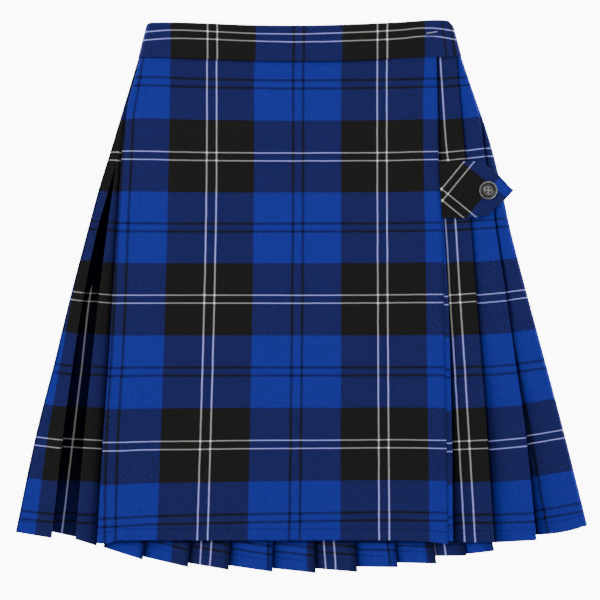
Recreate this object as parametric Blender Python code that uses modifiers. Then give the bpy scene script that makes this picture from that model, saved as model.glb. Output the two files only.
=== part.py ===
"""A child's kilt skirt of checked cloth, laid flat on its back on a table.

X runs across the skirt, Y runs from the hem up to the waist, and Z is the height over the table.
The skirt is a flattened tube of pleated cloth: it starts under the front, goes round the right side,
comes back along the table, and rises round the left side to end as the over-apron. A point of the
cloth is given by how far round the tube it lies, how deep under the tube's skin, and its height Y.
Lengths in this script are millimetres, and MM turns them into metres.
"""

import math

import bmesh
import bpy
from mathutils import Vector

MM = 0.001

# Cloth and seams
WALL = 1.0
SEAM = 0.3
LAYER = WALL + SEAM
FOLD_RADIUS = LAYER / 2
FOLD_EDGE = FOLD_RADIUS + WALL / 2
STACK = 2 * LAYER
FOLD_STEPS = 3
RAMP_GAP = 0.2
BACK_RAMP = 6.0
HALFWAY_DEPTH = 0.42
INTO_UNDER_FROM = 0.25
CLOTH_PER_PLEAT = 55.0
LARGEST_HEM_UNDERLAY = 14.0

# The flattened tube: the radius of its side turns, and the height of their centre
TURN_RADIUS = 3.35
CENTRE_Z = TURN_RADIUS + WALL / 2
TURN_LENGTH = math.pi * TURN_RADIUS

# Heights Y at which the lines down the front are given: waist, high hip, hip, middle, hem
LEVELS = (227.0, 150.0, 91.0, -32.0, -232.0)

# Where the sides and the free edge of the front lie at those heights
OUTLINE_LEFT = (-154.4, -177.4, -195.2, -227.1, -272.4)
OUTLINE_RIGHT = (151.0, 175.5, 191.0, 222.3, 274.0)
OVER_APRON_EDGE = (127.7, 129.9, 131.5, 135.3, 138.5)

# Folds of the front. A place beyond the outline has gone round the side. The underlay is the cloth
# turned back under the fold. outer_hem is the height of the hem at the fold, and inner_hem where the
# next panel starts under it.
FOLD_COLUMNS = (
    "waist", "high_hip", "hip", "middle", "hem", "underlay_waist", "underlay_hem", "outer_hem", "inner_hem",
)
RIGHT_FOLDS = (
    (132.0, 133.3, 134.9, 140.6, 143.7, 15.0, 8.0, -233.0, -233.2),
    (141.2, 154.0, 159.1, 168.6, 182.9, 6.2, 7.6, -233.0, -233.5),
    (146.7, 171.0, 181.0, 199.0, 223.1, 2.5, 7.6, -231.2, -227.0),
)

# The deep pleat at the left of the front lies open between two soft edges, and fades out up the side
LEFT_FACING_IN = (-155.5, -177.5, -186.0, -212.9, -238.9, 0.0, 0.0, -228.4, -223.3)
LEFT_FACING_OUT = (-155.1, -176.5, -181.7, -196.9, -215.7, 0.0, 0.0, -230.4, -228.0)
OVER_APRON_FOLD = (-144.5, -168.0, -174.6, -182.3, -195.3, 18.0, 18.0, -234.4, -236.5)
SOFT_EDGE = 3.4
SOFT_STEPS = 6
DEEP_BELOW = 70.0
GONE_ABOVE = 150.0

# Round a side: the number of steps, the least distance between lines, the shortest way up from under a
# fold, and the height of the hem
SIDE_STEPS = 4
CLOSEST = 0.7
SHORTEST_RAMP = 5.0
OUTLINE_HEM_RIGHT = -217.5
OUTLINE_HEM_LEFT = -223.5

# Folds of the back, seen from inside, right to left: where each one's inner end shows at the hem, the
# height of the hem there, and its height at the left end of the panel that comes from under that fold
BACK_FOLDS = (
    (266.0, -217.1, -221.4), (244.0, -221.8, -229.0), (215.0, -230.4, -232.3), (181.3, -241.6, -245.3),
    (156.2, -245.6, -246.1), (127.5, -253.1, -252.5), (90.8, -256.6, -256.5), (51.4, -261.0, -258.5),
    (12.6, -261.7, -257.7), (-28.8, -261.0, -255.1), (-69.7, -259.0, -252.3), (-107.9, -256.3, -246.6),
    (-151.1, -249.1, -236.6), (-189.1, -232.8, -224.2), (-220.4, -223.3, -221.4), (-250.8, -221.4, -221.4),
)
BACK_WAIST_Y = 226.0
BACK_START_GAP = 1.5
BACK_END_GAP = 8.0
BACK_HEM_Y = -260.0

# The skirt fans out from one point above the waist
FAN_X = -7.6
FAN_Y = 810.4
BACK_WAIST_RADIUS = 603.7
BACK_BAND_RADIUS = 569.5

# Front waist seam and over-apron
FRONT_WAIST_Y = 222.3
FRONT_WAIST_RISE = 4.7
HALF_WAIST = 150.0
OVER_APRON_HEM = -232.3
OVER_APRON_CORNER_HEM = -235.8
APRON_SLOPE = 40.0
APRON_SEAM_FROM_FOLD = 24.0
UNDER_APRON_HEM = -229.0
UNDER_APRON_LEFT_GAP = 3.0
APRON_RUN_STEPS = 6

# Waistband
BAND_WALL = 2.8
BAND_TOP_Z = 9.0
BAND_RADIUS = (BAND_TOP_Z - BAND_WALL) / 2
BAND_CENTRE_Z = BAND_TOP_Z / 2
BAND_TOP_LEFT = -146.3
BAND_TOP_RIGHT = 143.5
BAND_FRONT_Y = 255.6
BAND_RISE_LEFT = 3.8
BAND_RISE_RIGHT = 6.3
HALF_BAND = 142.0
BAND_CORNER_DROP = 4.5
BAND_TURN_STEPS = 6
BAND_RUN_STEPS = 12
BAND_ROUNDING = 0.7
BAND_GAP = 0.4

# Tab and button
TAB_TOP_Y = 127.7
TAB_BOTTOM_Y = 74.2
TAB_OUTLINE = (
    (165.2, 127.8), (173.8, 125.4), (187.6, 114.4), (197.2, 104.0), (200.2, 100.8),
    (197.4, 97.0), (192.0, 90.4), (181.5, 81.7), (176.1, 76.2), (166.3, 74.9),
)
TAB_THICKNESS = 2.0
TAB_ROUNDING = 0.4
TAB_Z = CENTRE_Z + TURN_RADIUS + WALL / 2 + SEAM
BUTTON_PLACE = (176.8, 100.5)
BUTTON_RADIUS = 8.7
BUTTON_HEIGHT = 3.0
BUTTON_RIM = 1.5
BUTTON_WELL = 0.9
BUTTON_SEGMENTS = 40
BUTTON_HOLE_RADIUS = 0.95
BUTTON_HOLE_SPACING = 3.3
BUTTON_HOLE_SIDES = 12

# Rows of points from the waist to the hem. The front and the sides have more rows over the hip: each
# pair gives the share of the length that a stretch reaches to, and its number of rows.
SIDE_ROW_STRETCHES = ((0.16, 5), (0.32, 8), (1.0, 9))
BACK_ROWS = 5

COLOURS = {
    "cloth_front": ((0.010, 0.050, 0.300, 1.0), 0.85),
    "cloth_pleats": ((0.010, 0.038, 0.210, 1.0), 0.85),
    "cloth_band": ((0.012, 0.020, 0.090, 1.0), 0.85),
    "horn": ((0.020, 0.018, 0.018, 1.0), 0.35),
}


def clear_scene():
    """Start from an empty scene."""
    for thing in list(bpy.data.objects):
        bpy.data.objects.remove(thing)


def new_collection(name):
    """A collection in the scene."""
    collection = bpy.data.collections.new(name)
    bpy.context.scene.collection.children.link(collection)
    return collection


def new_material(name):
    """A Principled material in one of the part's colours."""
    colour, roughness = COLOURS[name]
    material = bpy.data.materials.new(name)
    material.use_nodes = True
    shader = material.node_tree.nodes["Principled BSDF"]
    shader.inputs["Base Color"].default_value = colour
    shader.inputs["Roughness"].default_value = roughness
    shader.inputs["Metallic"].default_value = 0.0
    return material


def new_object(name, mesh, material, collection):
    """Link a mesh object with its material."""
    mesh.materials.append(material)
    thing = bpy.data.objects.new(name, mesh)
    collection.objects.link(thing)
    return thing


def mix(a, b, share):
    """The value that lies this share of the way from a to b."""
    return a + (b - a) * share


def line_at(places, y):
    """Place at height y of a smooth line through the places at the levels, straight past them."""
    slopes = [(b - a) / (high - low) for a, b, low, high in zip(places, places[1:], LEVELS, LEVELS[1:])]
    tangents = [slopes[0], *((a + b) / 2 for a, b in zip(slopes, slopes[1:])), slopes[-1]]
    if y >= LEVELS[0]:
        return places[0] + tangents[0] * (y - LEVELS[0])
    if y <= LEVELS[-1]:
        return places[-1] + tangents[-1] * (y - LEVELS[-1])
    i = sum(y < level for level in LEVELS[1:])
    length = LEVELS[i + 1] - LEVELS[i]
    share = (y - LEVELS[i]) / length
    bend_in = share * (1 - share) ** 2 * length * tangents[i]
    bend_out = share ** 2 * (share - 1) * length * tangents[i + 1]
    return mix(places[i], places[i + 1], share ** 2 * (3 - 2 * share)) + bend_in + bend_out


def arc_y(x, radius):
    """Height of an arc about the fan's point."""
    return FAN_Y - math.sqrt(radius ** 2 - (x - FAN_X) ** 2)


def front_waist_y(x):
    """Height of the waist seam along the front."""
    return FRONT_WAIST_Y + FRONT_WAIST_RISE * (x / HALF_WAIST) ** 2


def turn_centres(y):
    """Centres of the right and left turns of the tube at height y."""
    inset = TURN_RADIUS + WALL / 2
    return line_at(OUTLINE_RIGHT, y) - inset, line_at(OUTLINE_LEFT, y) + inset


def whole_way_round(y):
    """Length once round the tube's skin."""
    right, left = turn_centres(y)
    return 2 * TURN_LENGTH + 2 * (right - left)


def place_on_tube(way, depth, y):
    """Point that lies this way round the tube and this deep under its skin.

    Along the front of the right side the way is X itself. Once round, it is X plus the whole way.
    """
    right, left = turn_centres(y)
    radius = TURN_RADIUS - depth
    back_start = right + TURN_LENGTH
    back_end = back_start + right - left
    if way <= right:
        return way, CENTRE_Z + radius
    if way <= back_start:
        angle = (way - right) / TURN_RADIUS
        return right + radius * math.sin(angle), CENTRE_Z + radius * math.cos(angle)
    if way <= back_end:
        return right - (way - back_start), CENTRE_Z - radius
    if way <= back_end + TURN_LENGTH:
        angle = (way - back_end) / TURN_RADIUS
        return left - radius * math.sin(angle), CENTRE_Z - radius * math.cos(angle)
    return way - whole_way_round(y), CENTRE_Z + radius


def share_behind(way, y):
    """0 along the front, 1 along the back, and between them round a side."""
    right, left = turn_centres(y)
    into_right = (way - right) / TURN_LENGTH
    into_left = (way - 2 * right + left - TURN_LENGTH) / TURN_LENGTH
    return min(max(into_right, 0.0), 1.0) - min(max(into_left, 0.0), 1.0)


def right_fold(row):
    """A fold at the right of the front, from its row of the table."""
    fold = dict(zip(FOLD_COLUMNS, row))
    places = row[:len(LEVELS)]
    fold["way"] = lambda y: line_at(places, y)
    return fold


def left_fold(row):
    """A fold at the left of the front: the tube has gone once round before it."""
    fold = dict(zip(FOLD_COLUMNS, row))
    places = row[:len(LEVELS)]
    fold["way"] = lambda y: whole_way_round(y) + line_at(places, y)
    return fold


def back_folds():
    """The folds of the back, evenly spaced at the waist between the turns of the tube."""
    count = len(BACK_FOLDS)
    right, left = turn_centres(BACK_WAIST_Y)
    start = right - BACK_START_GAP
    pitch = (start - left - BACK_END_GAP) / count
    folds = []
    outer_hem = OUTLINE_HEM_RIGHT
    for i, (inner_end, inner_hem, panel_end_hem) in enumerate(BACK_FOLDS):
        before_this = max(i - 1, 0)
        after_this = min(i + 1, count - 1)
        hem_pitch = (BACK_FOLDS[before_this][0] - BACK_FOLDS[after_this][0]) / (after_this - before_this)
        underlay = min((CLOTH_PER_PLEAT - hem_pitch) / 2, LARGEST_HEM_UNDERLAY)
        if i:
            inner_before, hem_before, end_hem_before = BACK_FOLDS[i - 1]
            past = (inner_before - inner_end + underlay) / (inner_before - inner_end)
            outer_hem = mix(hem_before, end_hem_before, past)
        waist_x = start - pitch * (i + 1)
        under_waist = pitch - STACK - RAMP_GAP
        folds.append(back_fold(waist_x, inner_end - underlay, under_waist, underlay, outer_hem, inner_hem))
    return folds


def back_fold(waist_x, hem_x, underlay_waist, underlay_hem, outer_hem, inner_hem):
    """A straight fold of the back between its places at the waist and the hem."""

    def way(y):
        share = (BACK_WAIST_Y - y) / (BACK_WAIST_Y - BACK_HEM_Y)
        right, _ = turn_centres(y)
        return 2 * right + TURN_LENGTH - mix(waist_x, hem_x, share)

    return {
        "way": way,
        "underlay_waist": underlay_waist,
        "underlay_hem": underlay_hem,
        "outer_hem": outer_hem,
        "inner_hem": inner_hem,
    }


def underlay_at(fold, y):
    """Width of the cloth turned back under a fold at height y."""
    share = (LEVELS[0] - y) / (LEVELS[0] - LEVELS[-1])
    return mix(fold["underlay_waist"], fold["underlay_hem"], share)


def station(way, depth, hem):
    """One line of the cloth from waist to hem: its way and its depth at each height, and its hem."""
    return {"way": way, "depth": depth, "hem": hem}


def at_depth(value):
    """A depth that is the same all the way down."""
    return lambda y: value


def beside(fold, shift, underlays=0.0):
    """Way of a line beside a fold: a shift, and a number of the fold's underlays."""
    return lambda y: fold["way"](y) + shift + underlays * underlay_at(fold, y)


def turn(fold, sign, inner):
    """Lines round the outer or the inner turn of a fold, in the order in which the way meets them.

    sign is 1 where the fold's edge faces down the way, and -1 where it faces back.
    """
    hem = fold["inner_hem"] if inner else fold["outer_hem"]
    underlays = -sign if inner else 0.0
    side = -sign if inner else sign
    lines = []
    for step in range(FOLD_STEPS + 1):
        angle = math.pi * step / FOLD_STEPS
        across = side * (FOLD_RADIUS * math.sin(angle) - FOLD_EDGE)
        depth = FOLD_RADIUS * (1 - math.cos(angle)) + (LAYER if inner else 0.0)
        lines.append(station(beside(fold, across, underlays), at_depth(depth), hem))
    return lines[::sign]


def soft_edge(fold, sign):
    """Lines over a soft edge, from the skin down into the deep pleat, or up again for sign -1."""
    lines = []
    for step in range(SOFT_STEPS + 1):
        share = step / SOFT_STEPS
        sunk = share ** 2 * (3 - 2 * share)
        hem = mix(fold["outer_hem"], fold["inner_hem"], share)
        lines.append(station(beside(fold, sign * (share - 1) * SOFT_EDGE), sunk_depth(sunk), hem))
    return lines[::sign]


def sunk_depth(sunk):
    """Depth of a line that lies this share of the way down into the deep pleat."""

    def depth(y):
        present = min(max((GONE_ABOVE - y) / (GONE_ABOVE - DEEP_BELOW), 0.0), 1.0)
        return STACK * sunk * present

    return depth


def panel_from_under(fold, end, end_hem, length=None, least=0.0):
    """Lines of the panel that comes from under a fold up to the skin: by its end, or sooner."""

    def start(y):
        return fold["way"](y) + RAMP_GAP

    def reach(y):
        room = max(end(y) - RAMP_GAP - start(y), least)
        return room if length is None else min(room, length)

    halfway = mix(fold["inner_hem"], end_hem, 0.5)
    return [
        station(start, at_depth(STACK), fold["inner_hem"]),
        station(lambda y: start(y) + reach(y) / 2, at_depth(STACK * HALFWAY_DEPTH), halfway),
        station(lambda y: start(y) + reach(y), at_depth(0.0), end_hem),
    ]


def panel_between(fold, following, length=None):
    """Lines of the panel that comes from under a fold and ends over the next fold's underlay."""
    return panel_from_under(fold, beside(following, 0.0, -1.0), following["outer_hem"], length)


def back_panel(fold, following):
    """Lines of a panel of the back, whose hem runs straight from its inner end to the next fold."""
    start = fold["way"](BACK_HEM_Y) - underlay_at(fold, BACK_HEM_Y)
    end = following["way"](BACK_HEM_Y)
    lines = panel_between(fold, following, BACK_RAMP)
    for line in lines:
        share = (line["way"](BACK_HEM_Y) - start) / (end - start)
        line["hem"] = mix(fold["inner_hem"], following["outer_hem"], share)
    return lines


def right_turn_start(y):
    """Way at which the tube starts round its right side."""
    return turn_centres(y)[0]


def left_turn_start(y):
    """Way at which the tube starts round its left side."""
    right, left = turn_centres(y)
    return 2 * right + TURN_LENGTH - left


def round_side(turn_start, hem, after, before):
    """Lines of a panel round a side of the tube, evenly between two other ways."""

    def side_way(share):

        def way(y):
            start = max(turn_start(y), after(y) + CLOSEST)
            end = min(turn_start(y) + TURN_LENGTH, before(y) - CLOSEST)
            return mix(start, end, share)

        return way

    return [station(side_way(step / SIDE_STEPS), at_depth(0.0), hem) for step in range(SIDE_STEPS + 1)]


def seam_line(fold, sign, side):
    """Edge of the cloth halfway along a fold's underlay, half a seam's gap to one side."""
    hem = mix(fold["outer_hem"], fold["inner_hem"], 0.5)
    return station(beside(fold, side * SEAM / 2, -sign * 0.5), at_depth(LAYER), hem)


def cloth_from_stations(name, stations, rows, material, collection):
    """A wall of cloth through its lines, with the thickness laid half on each side."""
    mesh = bpy.data.meshes.new(name)
    model = bmesh.new()
    grid = []
    for line in stations:
        level = LEVELS[0]
        way = line["way"](level)
        x, _ = place_on_tube(way, line["depth"](level), level)
        behind = share_behind(way, level)
        waist = mix(front_waist_y(x), arc_y(x, BACK_WAIST_RADIUS), behind)
        column = []
        for share in rows:
            y = mix(waist, line["hem"], share)
            x, z = place_on_tube(line["way"](y), line["depth"](y), y)
            column.append(model.verts.new(Vector((x, y, z)) * MM))
        grid.append(column)
    for left, right in zip(grid, grid[1:]):
        for i in range(len(rows) - 1):
            model.faces.new((left[i], left[i + 1], right[i + 1], right[i]))
    model.to_mesh(mesh)
    model.free()
    thing = new_object(name, mesh, material, collection)
    solid = thing.modifiers.new("wall", "SOLIDIFY")
    solid.thickness = WALL * MM
    solid.offset = 0.0
    solid.use_even_offset = True
    return thing


def even_rows(count):
    """Shares of the length at which evenly spaced rows lie."""
    return [row / (count - 1) for row in range(count)]


def side_rows():
    """Shares of the length at which the rows of the side pleats lie."""
    shares = [0.0]
    for reach, count in SIDE_ROW_STRETCHES:
        start = shares[-1]
        shares += [mix(start, reach, (row + 1) / count) for row in range(count)]
    return shares


def knife_fold(fold):
    """Lines of a fold whose edge faces down the way, over the start of the next panel."""
    return turn(fold, 1, inner=False) + turn(fold, 1, inner=True)


def make_right_pleats(folds, first_back, material, collection):
    """Front pleats at the right, and the panel that goes round the side on to the back."""
    edge = beside(folds[0], SEAM - APRON_SEAM_FROM_FOLD)
    lines = [station(edge, at_depth(0.0), folds[0]["outer_hem"])]
    for fold, following in zip(folds, folds[1:]):
        lines += knife_fold(fold)
        lines += panel_between(fold, following)
    last = folds[-1]
    lines += knife_fold(last)
    panel = panel_from_under(last, right_turn_start, OUTLINE_HEM_RIGHT, least=SHORTEST_RAMP)
    lines += panel
    lines += round_side(right_turn_start, OUTLINE_HEM_RIGHT, panel[-1]["way"], beside(first_back, 0.0, -1.0))
    lines += turn(first_back, 1, inner=False)
    lines.append(seam_line(first_back, 1, 1))
    return cloth_from_stations("right_pleats", lines, side_rows(), material, collection)


def make_back_pleats(folds, material, collection):
    """The knife pleats that lie on the table, between a seam in the first and last underlay."""
    lines = [seam_line(folds[0], 1, -1)]
    lines += turn(folds[0], 1, inner=True)
    for fold, following in zip(folds, folds[1:]):
        lines += back_panel(fold, following)
        lines += turn(following, 1, inner=False)
        lines += turn(following, 1, inner=True)
    lines = lines[:-FOLD_STEPS - 1]
    lines.append(seam_line(folds[-1], 1, 1))
    return cloth_from_stations("back_pleats", lines, even_rows(BACK_ROWS), material, collection)


def make_left_pleats(last_back, facing_in, facing_out, apron_fold, material, collection):
    """The panel from the back round the left side, and the deep pleat between two facing folds."""
    lines = [seam_line(last_back, 1, -1)]
    lines += turn(last_back, 1, inner=True)
    panel = panel_from_under(last_back, beside(facing_in, 0.0), OUTLINE_HEM_LEFT, BACK_RAMP)
    lines += panel
    lines += round_side(left_turn_start, OUTLINE_HEM_LEFT, panel[-1]["way"], beside(facing_in, -SOFT_EDGE))
    lines += soft_edge(facing_in, 1)
    lines += soft_edge(facing_out, -1)
    lines += panel_into_under(facing_out, apron_fold)
    lines += turn(apron_fold, -1, inner=True)
    lines.append(seam_line(apron_fold, -1, 1))
    return cloth_from_stations("left_pleats", lines, side_rows(), material, collection)


def panel_into_under(fold, following):
    """Lines of the panel between two folds that face back up the way: it ends under the second."""

    def start(y):
        return fold["way"](y) + SOFT_EDGE + RAMP_GAP

    def way_at(share):
        return lambda y: mix(start(y), following["way"](y) - RAMP_GAP, share)

    lines = []
    for step in range(SIDE_STEPS + 1):
        share = step / SIDE_STEPS
        depth = STACK * max(0.0, (share - INTO_UNDER_FROM) / (1 - INTO_UNDER_FROM))
        hem = mix(fold["outer_hem"], following["inner_hem"], share)
        lines.append(station(way_at(share), at_depth(depth), hem))
    return lines


def front_way(way, shift):
    """Way of an apron's line: the tube has gone once round before the front."""
    return lambda y: whole_way_round(y) + way(y) + shift


def level_run(start, end, depth, hem):
    """Evenly spaced lines of an apron's stretch that lies at one depth."""

    def way_at(share):
        return lambda y: mix(start(y), end(y), share)

    lines = []
    for step in range(APRON_RUN_STEPS + 1):
        lines.append(station(way_at(step / APRON_RUN_STEPS), at_depth(depth), hem))
    return lines


def make_over_apron(apron_fold, first_right, material, collection):
    """The front panel, from the seam in its own underlay to its free edge."""
    flat_from = apron_fold["underlay_hem"] + UNDER_APRON_LEFT_GAP
    rises_from = -APRON_SEAM_FROM_FOLD - APRON_SLOPE
    right_way = first_right["way"]
    lines = [seam_line(apron_fold, -1, -1)]
    lines += turn(apron_fold, -1, inner=False)
    lines.append(station(beside(apron_fold, flat_from), at_depth(0.0), OVER_APRON_HEM))
    run_start = beside(apron_fold, flat_from + APRON_SLOPE)
    lines += level_run(run_start, front_way(right_way, rises_from), LAYER, OVER_APRON_HEM)
    lines.append(station(front_way(right_way, -APRON_SEAM_FROM_FOLD), at_depth(-LAYER), OVER_APRON_HEM - WALL))
    free_edge = front_way(lambda y: line_at(OVER_APRON_EDGE, y), 0.0)
    lines.append(station(free_edge, at_depth(-LAYER), OVER_APRON_CORNER_HEM))
    return cloth_from_stations("over_apron", lines, side_rows(), material, collection)


def make_under_apron(apron_fold, first_right, material, collection):
    """The hidden front panel, plain, sewn to the right pleats' first panel."""
    start = beside(apron_fold, apron_fold["underlay_hem"] + UNDER_APRON_LEFT_GAP)
    rises_from = -APRON_SEAM_FROM_FOLD - APRON_SLOPE
    right_way = first_right["way"]
    lines = level_run(start, front_way(right_way, rises_from), STACK, UNDER_APRON_HEM)
    seam = front_way(right_way, -APRON_SEAM_FROM_FOLD)
    lines.append(station(seam, at_depth(0.0), first_right["outer_hem"]))
    return cloth_from_stations("under_apron", lines, side_rows(), material, collection)


def band_point(share, height_share):
    """Point of the waistband's middle surface.

    share goes 0 to 1 along the front from left to right, 1 to 2 round the right side, 2 to 3 along
    the back, and 3 to 4 round the left side. height_share is 0 at the waist seam and 1 at the top.
    """
    inset = BAND_RADIUS + BAND_WALL / 2
    right = mix(OUTLINE_RIGHT[0], BAND_TOP_RIGHT, height_share) - inset
    left = mix(OUTLINE_LEFT[0], BAND_TOP_LEFT, height_share) + inset
    stretch = int(share)
    part = share - stretch
    angle = math.pi * part
    if stretch == 0:
        x, z, behind = mix(left, right, part), BAND_CENTRE_Z + BAND_RADIUS, 0.0
    elif stretch == 1:
        x = right + BAND_RADIUS * math.sin(angle)
        z, behind = BAND_CENTRE_Z + BAND_RADIUS * math.cos(angle), part
    elif stretch == 2:
        x, z, behind = mix(right, left, part), BAND_CENTRE_Z - BAND_RADIUS, 1.0
    else:
        x = left - BAND_RADIUS * math.sin(angle)
        z, behind = BAND_CENTRE_Z - BAND_RADIUS * math.cos(angle), 1.0 - part
    rise = BAND_RISE_RIGHT if x > 0 else BAND_RISE_LEFT
    front_top = BAND_FRONT_Y + rise * (x / HALF_BAND) ** 2
    top = mix(front_top, arc_y(x, BACK_BAND_RADIUS), behind)
    if stretch == 1:
        top -= BAND_CORNER_DROP * math.sin(angle)
    seam = mix(front_waist_y(x), arc_y(x, BACK_WAIST_RADIUS), behind) + BAND_GAP
    return Vector((x, mix(seam, top, height_share), z)) * MM


def make_waistband(material, collection):
    """A closed band laid flat: the front over the back, with soft turns at the sides."""
    shares = []
    for stretch, steps in enumerate((BAND_RUN_STEPS, BAND_TURN_STEPS) * 2):
        shares += [stretch + step / steps for step in range(steps)]
    mesh = bpy.data.meshes.new("waistband")
    model = bmesh.new()
    lower = [model.verts.new(band_point(share, 0.0)) for share in shares]
    upper = [model.verts.new(band_point(share, 1.0)) for share in shares]
    count = len(shares)
    for i in range(count):
        j = (i + 1) % count
        model.faces.new((lower[i], lower[j], upper[j], upper[i]))
    model.to_mesh(mesh)
    model.free()
    band = new_object("waistband", mesh, material, collection)
    solid = band.modifiers.new("wall", "SOLIDIFY")
    solid.thickness = BAND_WALL * MM
    solid.offset = 0.0
    solid.use_even_offset = True
    edges = band.modifiers.new("edges", "BEVEL")
    edges.width = BAND_ROUNDING * MM
    edges.segments = 2
    edges.limit_method = "ANGLE"
    edges.angle_limit = math.radians(50)
    return band


def make_tab(material, collection):
    """The fastening tab: sewn at the over-apron's edge, with a rounded point."""
    top_left = line_at(OVER_APRON_EDGE, TAB_TOP_Y) + SEAM + WALL / 2
    bottom_left = line_at(OVER_APRON_EDGE, TAB_BOTTOM_Y) + SEAM + WALL / 2
    outline = ((top_left, TAB_TOP_Y), *TAB_OUTLINE, (bottom_left, TAB_BOTTOM_Y))
    mesh = bpy.data.meshes.new("tab")
    model = bmesh.new()
    corners = [model.verts.new(Vector((x, y, TAB_Z)) * MM) for x, y in outline]
    face = model.faces.new(corners[::-1])
    risen = bmesh.ops.extrude_face_region(model, geom=[face])
    top = [item for item in risen["geom"] if isinstance(item, bmesh.types.BMVert)]
    bmesh.ops.translate(model, verts=top, vec=Vector((0, 0, TAB_THICKNESS)) * MM)
    bmesh.ops.recalc_face_normals(model, faces=model.faces)
    model.to_mesh(mesh)
    model.free()
    tab = new_object("tab", mesh, material, collection)
    edges = tab.modifiers.new("edges", "BEVEL")
    edges.width = TAB_ROUNDING * MM
    edges.segments = 2
    edges.limit_method = "ANGLE"
    edges.angle_limit = math.radians(60)
    return tab


def make_button(material, collection, cutters):
    """A turned button with a rounded rim, a dished face and four holes."""
    base = TAB_Z + TAB_THICKNESS + SEAM
    well = BUTTON_RADIUS - 2 * BUTTON_RIM
    floor = BUTTON_HEIGHT - BUTTON_WELL
    profile = [(0.0, floor), (well, floor)]
    for step in range(7):
        angle = math.pi * (1 - step / 6)
        across = BUTTON_RADIUS - BUTTON_RIM + BUTTON_RIM * math.cos(angle)
        profile.append((across, BUTTON_HEIGHT - BUTTON_WELL + BUTTON_WELL * math.sin(angle)))
    profile += [(BUTTON_RADIUS - BUTTON_WELL, 0.0), (0.0, 0.0)]
    mesh = bpy.data.meshes.new("button")
    model = bmesh.new()
    verts = [model.verts.new(Vector((x, 0, z)) * MM) for x, z in profile]
    for a, b in zip(verts, verts[1:]):
        model.edges.new((a, b))
    model.to_mesh(mesh)
    model.free()
    button = new_object("button", mesh, material, collection)
    button.location = Vector((*BUTTON_PLACE, base)) * MM
    screw = button.modifiers.new("turned", "SCREW")
    screw.steps = BUTTON_SEGMENTS
    screw.render_steps = BUTTON_SEGMENTS
    screw.use_merge_vertices = True
    screw.merge_threshold = 0.00001
    for i in range(4):
        angle = math.pi / 4 + math.pi / 2 * i
        reach = BUTTON_HOLE_SPACING / math.sqrt(2)
        bpy.ops.mesh.primitive_cylinder_add(
            vertices=BUTTON_HOLE_SIDES,
            radius=BUTTON_HOLE_RADIUS * MM,
            depth=4 * BUTTON_HEIGHT * MM,
            location=button.location + Vector((math.cos(angle), math.sin(angle), 0)) * reach * MM,
        )
        cutter = bpy.context.object
        cutter.name = f"button_hole_{i + 1}"
        for holder in list(cutter.users_collection):
            holder.objects.unlink(cutter)
        cutters.objects.link(cutter)
        cutter.hide_render = True
        cutter.display_type = "WIRE"
        cut = button.modifiers.new(f"hole_{i + 1}", "BOOLEAN")
        cut.object = cutter
    return button


def main():
    """Build the skirt."""
    clear_scene()
    skirt = new_collection("kilt_skirt")
    cutters = new_collection("cutters")
    front = new_material("cloth_front")
    pleats = new_material("cloth_pleats")
    band = new_material("cloth_band")
    horn = new_material("horn")

    right_folds = [right_fold(row) for row in RIGHT_FOLDS]
    facing_in = left_fold(LEFT_FACING_IN)
    facing_out = left_fold(LEFT_FACING_OUT)
    apron_fold = left_fold(OVER_APRON_FOLD)
    folds_behind = back_folds()

    make_right_pleats(right_folds, folds_behind[0], pleats, skirt)
    make_back_pleats(folds_behind, pleats, skirt)
    make_left_pleats(folds_behind[-1], facing_in, facing_out, apron_fold, pleats, skirt)
    make_under_apron(apron_fold, right_folds[0], front, skirt)
    make_over_apron(apron_fold, right_folds[0], front, skirt)
    make_waistband(band, skirt)
    make_tab(front, skirt)
    make_button(horn, skirt, cutters)


main()
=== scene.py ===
"""The look of the kilt skirt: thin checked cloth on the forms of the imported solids.

Lengths are millimetres, and MM turns them into metres. Places that were measured on the photograph are
given in its pixels: across() and up() turn them into X and Y in the row frame.
"""
import math

import bmesh
import bpy
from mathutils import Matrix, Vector


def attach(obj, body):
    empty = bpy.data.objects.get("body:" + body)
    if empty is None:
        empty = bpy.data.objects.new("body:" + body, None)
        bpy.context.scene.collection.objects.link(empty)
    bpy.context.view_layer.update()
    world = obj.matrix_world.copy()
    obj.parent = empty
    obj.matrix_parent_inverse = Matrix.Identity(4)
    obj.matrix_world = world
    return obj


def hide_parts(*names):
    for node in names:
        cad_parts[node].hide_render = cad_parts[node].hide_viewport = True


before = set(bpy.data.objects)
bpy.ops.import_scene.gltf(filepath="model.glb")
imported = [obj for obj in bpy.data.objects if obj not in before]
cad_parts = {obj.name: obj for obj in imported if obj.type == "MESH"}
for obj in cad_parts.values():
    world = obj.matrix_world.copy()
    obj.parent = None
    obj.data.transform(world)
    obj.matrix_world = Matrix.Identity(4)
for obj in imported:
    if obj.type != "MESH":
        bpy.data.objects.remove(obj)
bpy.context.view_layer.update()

MM = 0.001

# The photograph's scale and the pixel that lies at X 0, Y 0
MM_PER_PIXEL = 0.95
ORIGIN_PX = (302.0, 296.0)

# Layers of cloth (mm), as in the solids
CLOTH = 0.7
LAYER = 1.3
FOLD_RADIUS = LAYER / 2
FOLD_EDGE = 1.15
PAST_TURN = FOLD_EDGE + 0.4
STACK = 2 * LAYER
FOLD_STEPS = 6
TURN_RADIUS = 3.35
CENTRE_Z = TURN_RADIUS + 0.5
TURN_LENGTH = math.pi * TURN_RADIUS
TUCK = 1.6

# Shares of the length at which the rows of points lie: they are closest near the hem
ROW_SHARES = [0.93 * row / 56 for row in range(56)] + [0.93 + 0.07 * row / 14 for row in range(15)]

# The check repeats every SETT_DOWN down the cloth. BACK_HEM_V is the place in it of the back's hem.
SETT_DOWN = 137.2
BACK_HEM_V = 2.648

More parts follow.
